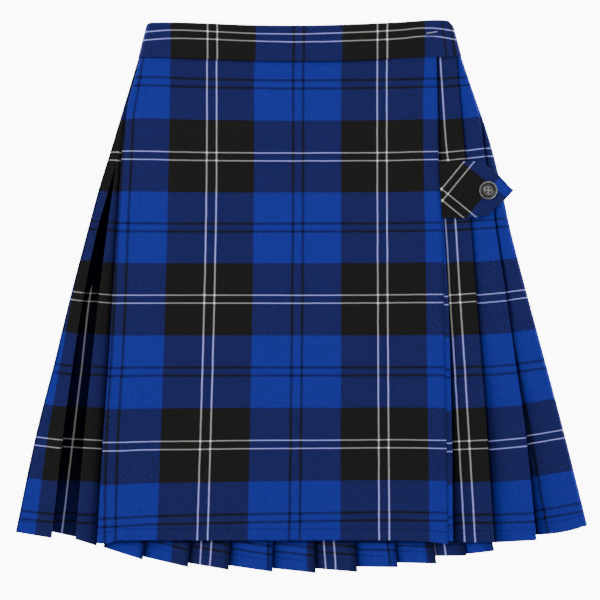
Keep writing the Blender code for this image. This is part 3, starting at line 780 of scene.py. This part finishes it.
def make_under_apron():
    """The hidden front panel."""
    apron = front_fold(APRON_FOLD, 1, 18.0, 18.0, -234.4, -236.5)
    r1 = front_fold(FOLD_R1, 1, 15.0, 8.0, -233.0, -233.2)
    rises = beside(r1, -64.0)
    made = spread(beside(apron, 21.0), rises, -229.0, -229.0, level(STACK), apron_check, 24, level(0.3))
    made += spread(rises, beside(r1, -24.0), -229.0, -233.0, climbs, apron_check, 6, level(0.3))[1:]
    return cloth_from_stations("under_apron_cloth", made)


# Waistband
BAND_WALL = 2.6
BAND_TOP_Z = 9.0
BAND_RADIUS = (BAND_TOP_Z - BAND_WALL) / 2
BAND_TOP_PX = (
    (146.5, 22.4), (170, 22.2), (200, 22.9), (250, 24.9), (300, 25.3), (341, 24.5), (400, 22.0), (440, 19.8),
    (454, 21.2),
)
BAND_SEAM_PX = (
    (138.0, 57.2), (200, 59.0), (250, 60.7), (300, 61.5), (350, 60.7), (400, 58.6), (440, 57.2), (461, 57.4),
)
BAND_WHITE_PX = (
    (146.0, 31.9, 40.0), (171, 30.2, 38.4), (200, 31.0, 38.9), (255, 33.5, 41.1), (300, 34.0, 42.0),
    (350, 32.6, 40.9), (400, 30.1, 38.6), (424, 28.1, 36.3), (440, 28.8, 37.0), (454, 31.0, 39.4),
)
BAND_CHECK_PX = (148.0, 171.0, 207.6, 217.2, 255.6, 298.8, 342.6, 382.1, 424.9, 441.3, 450.3, 461.0)
BAND_CHECK = (-0.375, -0.25, -0.0287, 0.0287, 0.25, 0.5, 0.75, 1.0, 1.25, 1.4713, 1.5287, 1.61)
BAND_WHITES = 0.0278
BAND_RUN_STEPS = 60
BAND_TURN_STEPS = 10


def band_line(places, x):
    """Height of the band's top or seam on the front."""
    return up(through([across(place[0]) for place in places], [place[1] for place in places], x))


def band_point(share, height_share, out):
    """Point of the band: share round it, height share, and distance out from its middle surface."""
    inset = BAND_RADIUS + BAND_WALL / 2
    right = mix(across(462.1), across(453.4), height_share) - inset
    left = mix(across(137.7), across(146.4), height_share) + inset
    stretch = int(share)
    part = share - stretch
    angle = math.pi * part
    radius = BAND_RADIUS + out
    if stretch == 0:
        x, z, behind = mix(left, right, part), BAND_TOP_Z / 2 + radius, 0.0
    elif stretch == 1:
        x = right + radius * math.sin(angle)
        z, behind = BAND_TOP_Z / 2 + radius * math.cos(angle), part
    elif stretch == 2:
        x, z, behind = mix(right, left, part), BAND_TOP_Z / 2 - radius, 1.0
    else:
        x = left - radius * math.sin(angle)
        z, behind = BAND_TOP_Z / 2 - radius * math.cos(angle), 1.0 - part
    top = mix(band_line(BAND_TOP_PX, x), arc_y(x, BACK_BAND_RADIUS), behind)
    if stretch == 1:
        top -= 3.4 * math.sin(angle)
    seam = mix(band_line(BAND_SEAM_PX, x), arc_y(x, BACK_WAIST_RADIUS) + 0.3, behind)
    y = mix(seam, top, height_share)
    ripple = 0.16 * math.sin(x / 9.0 + 1.7 * math.sin(x / 31.0)) * math.sin(math.pi * height_share)
    return (x, y, z + ripple), behind


def band_check(x, height, behind):
    """Place in the check across the band. Its stripes lean with the band's right end."""
    lean = (1 - height) * 5.0 * smooth((x - across(426)) / across(445 - 426 + ORIGIN_PX[0]))
    front = through([across(px) for px in BAND_CHECK_PX], BAND_CHECK, x - lean)
    return front if behind < 0.5 else -front


def make_band():
    """The waistband: cloth folded double over its stiffening, closed all round."""
    shares = []
    for stretch, steps in enumerate((BAND_RUN_STEPS, BAND_TURN_STEPS) * 2):
        shares += [stretch + step / steps for step in range(steps)]
    half = BAND_WALL / 2
    # height share and distance out of the profile, from the seam up the outside and down the inside
    profile = (
        (0.0, 0.1), (0.006, half * 0.72), (0.03, half), (0.09, half * 0.96), (0.25, half * 1.02),
        (0.5, half * 1.05), (0.75, half * 1.02), (0.93, half * 0.95), (0.975, half * 0.78), (1.0, 0.1), (0.985, -half * 0.7),
        (0.93, -half), (0.5, -half), (0.07, -half), (0.01, -half * 0.7),
    )
    model = bmesh.new()
    cloth = model.loops.layers.uv.new("cloth")
    dark = model.verts.layers.float.new("shade")
    grid, places = [], []
    for share in shares:
        column, placed = [], []
        for height, out in profile:
            point, behind = band_point(share, height, out)
            column.append(model.verts.new(Vector(point) * MM))
            # painted shade along the band's lower edge at the seam
            column[-1][dark] = 0.3 if height < 0.01 else 0.0
            if behind < 0.5:
                low, high = (band_line([(px, one[i]) for px, *one in BAND_WHITE_PX], point[0]) for i in (0, 1))
                down = BAND_WHITES * ((low + high) / 2 - point[1]) / (abs(low - high) / 2)
            else:
                down = (0.72 - height) * 34.5 / SETT_DOWN
            placed.append((band_check(point[0], height, behind), down))
        grid.append(column)
        places.append(placed)
    count, ring = len(shares), len(profile)
    for i in range(count):
        for j in range(ring):
            corners = ((i, j), ((i + 1) % count, j), ((i + 1) % count, (j + 1) % ring), (i, (j + 1) % ring))
            face = model.faces.new([grid[a][b] for a, b in corners])
            face.smooth = True
            for loop, (a, b) in zip(face.loops, corners):
                loop[cloth].uv = places[a][b]
    bmesh.ops.recalc_face_normals(model, faces=model.faces)
    return object_from(model, "waistband_cloth")


# Tab, in pixels: its outline from the top at the over-apron's edge, round the point
TAB_PX = (
    (438.9, 161.8), (450.0, 161.6), (462.0, 161.4), (475.9, 161.5), (485.0, 164.0), (499.5, 175.6),
    (509.0, 186.2), (513.8, 190.2), (504.1, 200.8), (493.1, 210.0), (487.4, 215.8), (477.1, 217.2),
    (460.0, 218.2), (442.3, 218.1),
)
TAB_BASE = 8.0
TAB_TOP = 10.0
TAB_CENTRE_PX = (474.0, 189.8)
# The tab's threads: their direction in the picture and the pixel place of the check's start, and then the
# check's widths (px) along it, before and after this place
TAB_WARP = (0.774, 0.633, 465.4)
TAB_WEFT = (-0.63, 0.776, -127.3)
TAB_SETT_DOWN = 152
TAB_SETTS_ACROSS = (138, 133)
TAB_SETT_CHANGE = 12
# Rings of the tab: share of the way out to the edge, and height. A rounded edge has a stitched groove in it.
TAB_RINGS = (
    (1.0, 0.45), (1.0, 0.8), (0.992, 0.95), (0.975, 1.0), (0.95, 1.0), (0.925, 0.86), (0.9, 1.0), (0.8, 1.02),
    (0.6, 1.03), (0.4, 1.04), (0.2, 1.04),
)
BUTTON_PX = (488.1, 190.5)


def smooth_outline(corners, per_side):
    """Points along straight sides, for an outline that is cut and turned by hand."""
    made = []
    for (ax, ay), (bx, by) in zip(corners, corners[1:] + corners[:1]):
        for step in range(per_side):
            made.append((mix(ax, bx, step / per_side), mix(ay, by, step / per_side)))
    return made


def make_tab():
    """The tab: two layers of cloth cut on the bias, turned at the edge and stitched round."""
    outline = smooth_outline(TAB_PX, 4)
    model = bmesh.new()
    cloth = model.loops.layers.uv.new("cloth")

    def row_at(out, height=None):
        """Vertices round the tab this share of the way out, at the base where no height is given."""
        row = []
        for px, py in outline:
            x, y = across(mix(TAB_CENTRE_PX[0], px, out)), up(mix(TAB_CENTRE_PX[1], py, out))
            z = TAB_BASE + 0.05
            if height is not None:
                z = TAB_BASE + (TAB_TOP - TAB_BASE) * height + 0.5 * rise(x, y, FRONT_RIDGES) - 0.2
            row.append(model.verts.new(Vector((x, y, z)) * MM))
        return row

    rows = [row_at(*ring) for ring in TAB_RINGS]
    outer, inner = row_at(0.992), row_at(0.9)
    count = len(outline)
    order = [inner, outer, *rows]
    for below, above in zip(order, order[1:]):
        for i in range(count):
            j = (i + 1) % count
            model.faces.new((below[i], below[j], above[j], above[i]))
    middle, under = (
        model.verts.new(Vector((across(TAB_CENTRE_PX[0]), up(TAB_CENTRE_PX[1]), z)) * MM)
        for z in (TAB_TOP, TAB_BASE + 0.05)
    )
    for i in range(count):
        j = (i + 1) % count
        model.faces.new((rows[-1][i], rows[-1][j], middle))
        model.faces.new((inner[j], inner[i], under))
    bmesh.ops.recalc_face_normals(model, faces=model.faces)
    for face in model.faces:
        face.smooth = True
        for loop in face.loops:
            px = loop.vert.co.x / MM / MM_PER_PIXEL + ORIGIN_PX[0]
            py = ORIGIN_PX[1] - loop.vert.co.y / MM / MM_PER_PIXEL
            along, down = (px * a + py * b - c for a, b, c in (TAB_WARP, TAB_WEFT))
            loop[cloth].uv = along / TAB_SETTS_ACROSS[along >= TAB_SETT_CHANGE], down / TAB_SETT_DOWN
    return object_from(model, "tab_cloth")


# Rings of a stitch: share of its length, share of its radius, and how far it lies over its middle line
STITCH_RINGS = ((0.0, 0.35, -0.6), (0.15, 0.85, -0.1), (0.5, 1.0, 0.15), (0.85, 0.85, -0.1), (1.0, 0.35, -0.6))


def make_stitches(name, paths, length, gap, radius, material):
    """Short stitches along paths of points (mm), each a slim six-sided capsule that dips at its ends."""
    model = bmesh.new()
    for path in paths:
        total = 0.0
        pitch = length + gap
        for a, b in zip(path, path[1:]):
            a, b = Vector(a), Vector(b)
            span = (b - a).length
            along = (pitch - total) % pitch
            while along + length <= span:
                stitch(model, a.lerp(b, along / span), a.lerp(b, (along + length) / span), radius)
                along += pitch
            total = (total + span) % pitch
    thing = object_from(model, name)
    thing.data.materials.append(material)
    return thing


def stitch(model, start, end, radius):
    """One stitch between two points."""
    way = (end - start).normalized()
    aside = way.cross(Vector((0, 0, 1))).normalized()
    over = aside.cross(way).normalized()
    if over.z < 0:
        over = -over
    rings = []
    for share, size, lift in STITCH_RINGS:
        middle = start.lerp(end, share) + over * radius * lift
        ring = []
        for i in range(6):
            angle = math.pi * i / 3
            out = aside * math.cos(angle) + over * math.sin(angle)
            ring.append(model.verts.new((middle + out * radius * size) * MM))
        rings.append(ring)
    for below, above in zip(rings, rings[1:]):
        for i in range(6):
            j = (i + 1) % 6
            face = model.faces.new((below[i], below[j], above[j], above[i]))
            face.smooth = True
    model.faces.new(rings[0][::-1])
    model.faces.new(rings[-1])


# Materials
BLUE = (0.0166, 0.0234, 0.2890)
BLACK = (0.0124, 0.0125, 0.0116)
WHITE = (0.32, 0.315, 0.30)
THIN = (0.0080, 0.0105, 0.0480)
CROSSED_WHITE = (0.95, 0.95, 0.97)
CROSSED_THIN = (0.0030, 0.0040, 0.0120)
SHADOW = (0.0002, 0.0005, 0.0030)
SHADED_WHITE = (0.135, 0.128, 0.122)
SEWING = (0.004, 0.006, 0.02)
THROUGH_WHITE = 2.2
DARKER = 0.33
# Pairs of lines: the white ones' distance from the middle of their stripe, their half width, and the thin ones'
WARP_LINES = (0.0287, 0.0040, 0.0078)
WEFT_LINES = (0.0278, 0.0034, 0.0084)
# In millimetres: the check's width, the twill's lines, the sewing's height over the hem and its stitches
SETT_WIDTH = 165.0
TWILL = 2.0
SEWN_OVER_HEM = 10.8
SEWN_STITCH = 3.1


def node(tree, kind, **values):
    """A shader node with its own values set."""
    made = tree.nodes.new(kind)
    for name, value in values.items():
        setattr(made, name, value)
    return made


def fill(tree, socket, value):
    """Give a socket its number or colour, or link another socket to it."""
    if isinstance(value, (int, float)):
        socket.default_value = value
    elif isinstance(value, tuple):
        socket.default_value = (*value, 1.0)
    elif value is not None:
        tree.links.new(value, socket)


def set_inputs(made, **values):
    """Set a node's inputs, with _ for the spaces in their names."""
    for name, value in values.items():
        made.inputs[name.replace("_", " ")].default_value = value


def new_material(name):
    """A material, its node tree and its shader."""
    made = bpy.data.materials.new(name)
    made.use_nodes = True
    return made, made.node_tree, made.node_tree.nodes["Principled BSDF"]


def maths(tree, operation, a, b=None, c=None, clamp=False):
    """The output of a Math node on values or sockets."""
    made = node(tree, "ShaderNodeMath", operation=operation, use_clamp=clamp)
    for socket, value in zip(made.inputs, (a, b, c)):
        fill(tree, socket, value)
    return made.outputs[0]


def times(tree, a, b, clamp=False):
    """The product of two values or sockets."""
    return maths(tree, "MULTIPLY", a, b, clamp=clamp)


def distance(tree, a, b):
    """The length of a vector of two sockets."""
    return maths(tree, "SQRT", maths(tree, "MULTIPLY_ADD", a, a, times(tree, b, b)))


def blend(tree, a, b, share=1.0, kind="MIX"):
    """The output of a colour Mix node on colours or sockets."""
    made = node(tree, "ShaderNodeMix", data_type="RGBA", blend_type=kind)
    for socket, value in ((made.inputs["Factor"], share), (made.inputs[6], a), (made.inputs[7], b)):
        fill(tree, socket, value)
    return made.outputs[2]


def ramp(tree, value, low, high, to_low=0.0, to_high=1.0):
    """A smooth step of a value."""
    made = node(tree, "ShaderNodeMapRange", interpolation_type="SMOOTHSTEP")
    fill(tree, made.inputs["Value"], value)
    set_inputs(made, From_Min=low, From_Max=high, To_Min=to_low, To_Max=to_high)
    return made.outputs["Result"]


def noise(tree, vector, dimensions="2D", **values):
    """The factor of a noise texture."""
    made = node(tree, "ShaderNodeTexNoise", noise_dimensions=dimensions)
    set_inputs(made, **values)
    tree.links.new(vector, made.inputs["Vector"])
    return made.outputs["Fac"]


def apart(tree, vector):
    """The X and Y of a vector."""
    made = node(tree, "ShaderNodeSeparateXYZ")
    tree.links.new(vector, made.inputs[0])
    return made.outputs[0], made.outputs[1]


def together(tree, x, y):
    """The vector of an X and a Y."""
    made = node(tree, "ShaderNodeCombineXYZ")
    tree.links.new(x, made.inputs[0])
    tree.links.new(y, made.inputs[1])
    return made.outputs[0]


def thread_colours(tree, place, pair, width, thin_width, fray):
    """Colours of the threads of one direction by their place in the check, where they are white and thin,
    and where two white lines may cross."""
    near = maths(tree, "PINGPONG", maths(tree, "ADD", place, fray), 0.5)
    black = ramp(tree, near, 0.2495, 0.2525, 1.0, 0.0)
    white_away = maths(tree, "ABSOLUTE", maths(tree, "SUBTRACT", near, pair))
    white = ramp(tree, white_away, width * 0.72, width * 1.28, 1.0, 0.0)
    thin_away = maths(tree, "ABSOLUTE", maths(tree, "SUBTRACT", near, 0.5 - pair))
    thin = ramp(tree, thin_away, thin_width * 0.7, thin_width * 1.3, 1.0, 0.0)
    white_dot = ramp(tree, white_away, width * 1.25, width * 1.9, 1.0, 0.0)
    colour = blend(tree, blend(tree, BLUE, BLACK, black), THIN, thin)
    return colour, white, thin, white_dot


def make_check_material(name, hem_stitch=True, gloss=0.06):
    """Woven check in a fine twill. The check comes from the cloth's UV map."""
    made, tree, shader = new_material(name)
    uv = node(tree, "ShaderNodeUVMap", uv_map="cloth").outputs[0]
    u, v = apart(tree, uv)
    # threads wander a little
    fray = times(tree, maths(tree, "SUBTRACT", noise(tree, uv, Scale=9.0, Detail=3.0), 0.5), 0.0035)
    # twill: lines that climb at 45 degrees
    across_mm, down_mm = times(tree, u, SETT_WIDTH), times(tree, v, SETT_DOWN)
    along = maths(tree, "ADD", across_mm, down_mm)
    lines = maths(tree, "SINE", times(tree, along, 2 * math.pi / TWILL))
    stepped = maths(tree, "ADD", fray, times(tree, lines, 0.0019))
    aside = times(tree, maths(tree, "SUBTRACT", across_mm, down_mm), 0.35)
    grain = noise(tree, together(tree, times(tree, along, 0.9), aside), Scale=1.0, Detail=1.0)
    uneven = maths(tree, "SUBTRACT", grain, 0.5)
    warp, warp_white, warp_thin, warp_dot = thread_colours(tree, u, *WARP_LINES, stepped)
    weft, weft_white, weft_thin, weft_dot = thread_colours(tree, v, *WEFT_LINES, stepped)
    patchy = maths(tree, "MULTIPLY_ADD", uneven, 1.35, 0.5)
    over = maths(tree, "ADD", times(tree, lines, 0.36), patchy, clamp=True)
    woven = blend(tree, blend(tree, weft, warp, over), blend(tree, weft, warp, kind="DARKEN"), DARKER)
    both_thin = times(tree, times(tree, warp_thin, weft_thin), 0.65)
    colour = blend(tree, woven, CROSSED_THIN, both_thin)
    # the other threads show through the white ones
    for white, crossing in ((warp_white, weft), (weft_white, warp)):
        through_it = blend(tree, crossing, (THROUGH_WHITE,) * 3, kind="MULTIPLY")
        colour = blend(tree, colour, blend(tree, WHITE, through_it, kind="ADD"), white)
    colour = blend(tree, colour, CROSSED_WHITE, times(tree, warp_dot, weft_dot))
    # yarns differ a little in tone
    stretched = together(tree, times(tree, u, 60.0), times(tree, v, 22.0))
    tone = maths(tree, "MULTIPLY_ADD", noise(tree, stretched, Scale=1.0, Detail=2.0), 0.28, 0.86)
    tinted = node(tree, "ShaderNodeHueSaturation")
    fill(tree, tinted.inputs["Color"], colour)
    fill(tree, tinted.inputs["Value"], maths(tree, "ADD", tone, times(tree, uneven, 0.55)))
    # painted shade: cloth deep beside a fold is darkened towards SHADOW by its shade attribute
    dark = node(tree, "ShaderNodeAttribute", attribute_name="shade").outputs["Fac"]
    white = maths(tree, "MAXIMUM", warp_white, weft_white)
    kept = maths(tree, "SUBTRACT", 1.0, times(tree, white, 0.24))
    colour = blend(tree, tinted.outputs["Color"], SHADOW, times(tree, dark, kept, clamp=True))
    # painted shade on a white line in a deep pleat: it shows grey, until it goes right under
    seen = times(tree, warp_white, ramp(tree, dark, 1.0, 1.3, 1.0, 0.0))
    colour = blend(tree, colour, SHADED_WHITE, times(tree, seen, ramp(tree, dark, 0.5, 0.9, 0.0, 0.8)))
    if hem_stitch:
        over_hem = node(tree, "ShaderNodeAttribute", attribute_name="over_hem").outputs["Fac"]
        near_hem = maths(tree, "ABSOLUTE", maths(tree, "SUBTRACT", over_hem, SEWN_OVER_HEM))
        row = ramp(tree, near_hem, 0.3, 0.6, 1.0, 0.0)
        dash = maths(tree, "PINGPONG", times(tree, u, SETT_WIDTH / SEWN_STITCH), 0.5)
        dash = ramp(tree, dash, 0.3, 0.36, 1.0, 0.0)
        colour = blend(tree, colour, SEWING, times(tree, times(tree, row, dash), 0.62))
    fill(tree, shader.inputs["Base Color"], colour)
    set_inputs(shader, Roughness=0.86, Specular_IOR_Level=gloss, Sheen_Weight=gloss / 3, Sheen_Roughness=0.5)
    bump = node(tree, "ShaderNodeBump")
    set_inputs(bump, Strength=0.35, Distance=0.00012)
    fill(tree, bump.inputs["Height"], lines)
    fill(tree, shader.inputs["Normal"], bump.outputs[0])
    return made


# Button, in millimetres. Its profile is given by radius and height, from the top's middle to the base's.
BUTTON_BASE = 10.3
BUTTON_RADIUS = 8.4
BUTTON_PROFILE = (
    (0.0, 2.15), (1.5, 2.12), (2.8, 1.98), (3.7, 1.75), (4.3, 1.45), (4.8, 1.3), (5.5, 1.28), (6.2, 1.5),
    (6.7, 1.9), (7.1, 2.4), (7.4, 2.8), (7.75, 2.98), (8.15, 2.85), (BUTTON_RADIUS, 2.4), (BUTTON_RADIUS, 1.6),
    (8.1, 0.9), (7.2, 0.3), (6.0, 0.0), (0.0, 0.0),
)
HOLE_RADIUS = 1.08
HOLE_SPACING = 3.45
HOLE_BOTTOM = 0.4
DRILL_LENGTH = 12.0
# Tones of the horn by the share of the radius, with painted light in them: the rim is paler with a painted
# highlight, the boss is paler, and the dish between them is dark with painted shade. The ramp's own last point
# stays, a painted highlight, white at the very edge.
HORN_TONES_AND_PAINTED_LIGHT = ((0.0, 0.40), (0.42, 0.26), (0.50, 0.11), (0.58, 0.020), (0.81, 0.015), (0.87, 0.17), (0.96, 0.10))


def make_horn_material():
    """Dark polished horn with faint streaks, painted light and shade by radius, and painted shade inside the
    button's holes.
    """
    made, tree, shader = new_material("horn_streaked")
    place = node(tree, "ShaderNodeTexCoord").outputs["Object"]
    streaks = noise(tree, place, "3D", Scale=260.0, Detail=4.0, Distortion=1.4)
    x, y = apart(tree, place)
    rings = node(tree, "ShaderNodeValToRGB")
    points = rings.color_ramp.elements
    for at, _ in HORN_TONES_AND_PAINTED_LIGHT[1:]:
        points.new(at)
    for (at, tone), point in zip(HORN_TONES_AND_PAINTED_LIGHT, points):
        point.position = at
        point.color = (tone, tone * 0.91, tone * 0.92, 1.0)
    fill(tree, rings.inputs["Fac"], maths(tree, "DIVIDE", distance(tree, x, y), BUTTON_RADIUS * MM))
    mottled = blend(tree, rings.outputs["Color"], (0.55, 0.53, 0.53), kind="MULTIPLY")
    colour = blend(tree, mottled, rings.outputs["Color"], ramp(tree, streaks, 0.35, 0.75))
    # painted shade: everything within the holes is darkened, walls and bottoms too
    half = HOLE_SPACING / 2 * MM
    off = [maths(tree, "SUBTRACT", maths(tree, "ABSOLUTE", way), half) for way in (x, y)]
    low = ramp(tree, distance(tree, *off), HOLE_RADIUS * 0.95 * MM, HOLE_RADIUS * 1.12 * MM, 0.01, 1.0)
    inside = node(tree, "ShaderNodeCombineColor")
    for socket in inside.inputs:
        fill(tree, socket, low)
    fill(tree, shader.inputs["Base Color"], blend(tree, colour, inside.outputs[0], kind="MULTIPLY"))
    set_inputs(shader, Roughness=0.22)
    return made


def make_thread_material(name, colour):
    """Sewing thread: two plies that wind round each other."""
    made, tree, shader = new_material(name)
    place = node(tree, "ShaderNodeTexCoord")
    plies = node(tree, "ShaderNodeTexWave", wave_type="BANDS", bands_direction="DIAGONAL")
    set_inputs(plies, Scale=900.0)
    fill(tree, plies.inputs["Vector"], place.outputs["Object"])
    shade = blend(tree, tuple(c * 0.7 for c in colour), colour, plies.outputs["Fac"])
    fill(tree, shader.inputs["Base Color"], shade)
    set_inputs(shader, Roughness=0.7)
    return made


def make_button(material):
    """A turned button with a rounded rim, a dished ring and a low boss with four blind holes."""
    model = bmesh.new()
    verts = [model.verts.new(Vector((x, 0, z)) * MM) for x, z in BUTTON_PROFILE]
    edges = [model.edges.new(pair) for pair in zip(verts, verts[1:])]
    bmesh.ops.spin(
        model, geom=verts + edges, cent=(0, 0, 0), axis=(0, 0, 1), angle=2 * math.pi, steps=64, use_merge=True
    )
    bmesh.ops.remove_doubles(model, verts=model.verts, dist=0.00002)
    bmesh.ops.recalc_face_normals(model, faces=model.faces)
    for face in model.faces:
        face.smooth = True
    button = object_from(model, "button_horn")
    button.location = Vector((across(BUTTON_PX[0]), up(BUTTON_PX[1]), BUTTON_BASE)) * MM
    model = bmesh.new()
    reach = HOLE_SPACING / math.sqrt(2)
    for i in range(4):
        angle = math.pi / 4 + math.pi / 2 * i
        drilled = bmesh.ops.create_cone(
            model, cap_ends=True, segments=20, radius1=HOLE_RADIUS * MM, radius2=HOLE_RADIUS * MM,
            depth=DRILL_LENGTH * MM,
        )
        middle = (math.cos(angle) * reach, math.sin(angle) * reach, HOLE_BOTTOM + DRILL_LENGTH / 2)
        bmesh.ops.translate(model, verts=drilled["verts"], vec=Vector(middle) * MM)
    drill = object_from(model, "drills")
    drill.location = button.location
    cut = button.modifiers.new("holes", "BOOLEAN")
    cut.object = drill
    bpy.context.view_layer.update()
    evaluated = button.evaluated_get(bpy.context.evaluated_depsgraph_get())
    button.data = bpy.data.meshes.new_from_object(evaluated)
    button.modifiers.clear()
    bpy.data.objects.remove(drill)
    button.data.materials.clear()
    button.data.materials.append(material)
    return button


# Stitches: the ends of each row (px), and its height (mm)
TACK_ROWS = ((426.4, 33.1, 437.4, 31.3), (426.2, 33.9, 437.2, 32.1))
TACK_Z = 9.25
DARK_TACK_ROWS = ((426.0, 36.2, 436.5, 36.8),)
DARK_TACK_Z = 9.22
TAB_STITCHES_OUT = 0.925
TAB_STITCHES_Z = 9.82


def rows_of(rows, z):
    """Straight paths of stitches from their ends in pixels."""
    return [[(across(a), up(b), z), (across(c), up(d), z)] for a, b, c, d in rows]


# Camera and light: places in metres, the sides of the square lights and their power
LENS = 190.0
FLOOR_Z = -0.0003
WORLD_LIGHT = 0.62
FLOOR_GLOW = 9.5
SOFTBOXES = (((-0.9, 0.9, 1.7), 1.2, 20.0), ((0.8, -0.3, 1.9), 1.6, 8.0))
PHOTO_PX = 600

BACK_FOLDS = back_folds()


def make_floor():
    """The pale floor under the skirt."""
    model = bmesh.new()
    bmesh.ops.create_grid(model, x_segments=1, y_segments=1, size=4.0)
    floor = object_from(model, "floor")
    floor.location.z = FLOOR_Z
    pale, _, shader = new_material("pale_floor")
    set_inputs(
        shader, Base_Color=(0.9, 0.9, 0.9, 1), Roughness=1.0, Specular_IOR_Level=0.0,
        Emission_Color=(1, 1, 1, 1), Emission_Strength=FLOOR_GLOW,
    )
    floor.data.materials.append(pale)
    return floor


def light_and_camera():
    """The studio's light, and the camera straight above."""
    world = bpy.data.worlds.new("studio")
    bpy.context.scene.world = world
    world.use_nodes = True
    set_inputs(world.node_tree.nodes["Background"], Color=(1, 1, 1, 1), Strength=WORLD_LIGHT)
    for place, size, power in SOFTBOXES:
        data = bpy.data.lights.new("softbox", "AREA")
        data.energy = power
        data.size = size
        light = bpy.data.objects.new("softbox", data)
        light.location = place
        light.rotation_euler = (-Vector(place)).to_track_quat("-Z", "Y").to_euler()
        bpy.context.scene.collection.objects.link(light)
    data = bpy.data.cameras.new("camera")
    data.lens = LENS
    camera = bpy.data.objects.new("camera", data)
    away = LENS / data.sensor_width * PHOTO_PX * MM_PER_PIXEL * MM
    camera.location = (across(PHOTO_PX / 2) * MM, up(PHOTO_PX / 2) * MM, away + 8 * MM)
    bpy.context.scene.collection.objects.link(camera)
    bpy.context.scene.camera = camera


def main():
    """Make every piece, the floor, the light and the camera."""
    cloth = make_check_material("checked_cloth")
    # a copy of the cloth without gloss for faces in deep painted shade, so that the painted shade stays dark
    shaded_cloth_copy = make_check_material("checked_cloth_shaded_copy", gloss=0.0)
    band_cloth = make_check_material("checked_band", hem_stitch=False)
    horn = make_horn_material()
    pale_thread = make_thread_material("pale_thread", (0.50, 0.50, 0.56))
    navy_thread = make_thread_material("navy_thread", (0.012, 0.016, 0.045))

    made = {
        "right_pleats": (make_right(), cloth, "cloth_pleats"),
        "back_pleats": (make_back(), cloth, "cloth_pleats"),
        "left_pleats": (make_left(), cloth, "cloth_pleats"),
        "over_apron": (make_over_apron(), cloth, "cloth_front"),
        "under_apron": (make_under_apron(), cloth, "cloth_front"),
        "waistband": (make_band(), band_cloth, "cloth_band"),
        "tab": (make_tab(), band_cloth, "cloth_front"),
    }
    for name, (piece, material, finish) in made.items():
        piece.data.materials.append(material)
        if material is cloth:
            piece.data.materials.append(shaded_cloth_copy)
        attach(piece, "root")
        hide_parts(name)

    button = make_button(horn)
    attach(button, "root")
    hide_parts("button")

    bar_tack = make_stitches("bar_tack", rows_of(TACK_ROWS, TACK_Z), 1.9, 0.25, 0.3, pale_thread)
    dark_rows = rows_of(DARK_TACK_ROWS, DARK_TACK_Z)
    bar_tack_dark = make_stitches("bar_tack_dark", dark_rows, 2.2, 0.5, 0.28, navy_thread)
    out = TAB_STITCHES_OUT
    path = [
        (across(mix(TAB_CENTRE_PX[0], px, out)), up(mix(TAB_CENTRE_PX[1], py, out)), TAB_STITCHES_Z)
        for px, py in TAB_PX[1:]
    ]
    tab_stitches = make_stitches("tab_stitches", [path], 1.9, 0.7, 0.2, navy_thread)
    for piece, finish in (
        (bar_tack, "cloth_band"), (bar_tack_dark, "cloth_band"), (tab_stitches, "cloth_front"),
    ):
        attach(piece, "root")

    held = {
        "right_pleats": ((0.245, 0.465), "folded", 0.105, ()),
        "back_pleats": ((1.0, 0.49), "folded", 0.4, ()),
        "left_pleats": ((0.15, 0.47), "folded", 0.06, ()),
        "over_apron": ((0.35, 0.466), "laid", 0.152, ()),
        "under_apron": ((0.29, 0.462), "laid", 0.127, ()),
        "waistband": ((0.605, 0.035), "folded", 0.021, (bar_tack, bar_tack_dark)),
        "tab": ((0.069, 0.054), "laid", 0.0031, (tab_stitches,)),
    }
    for name, (flat, how, area, extra) in held.items():
        list(extra)

    make_floor()
    light_and_camera()


main()
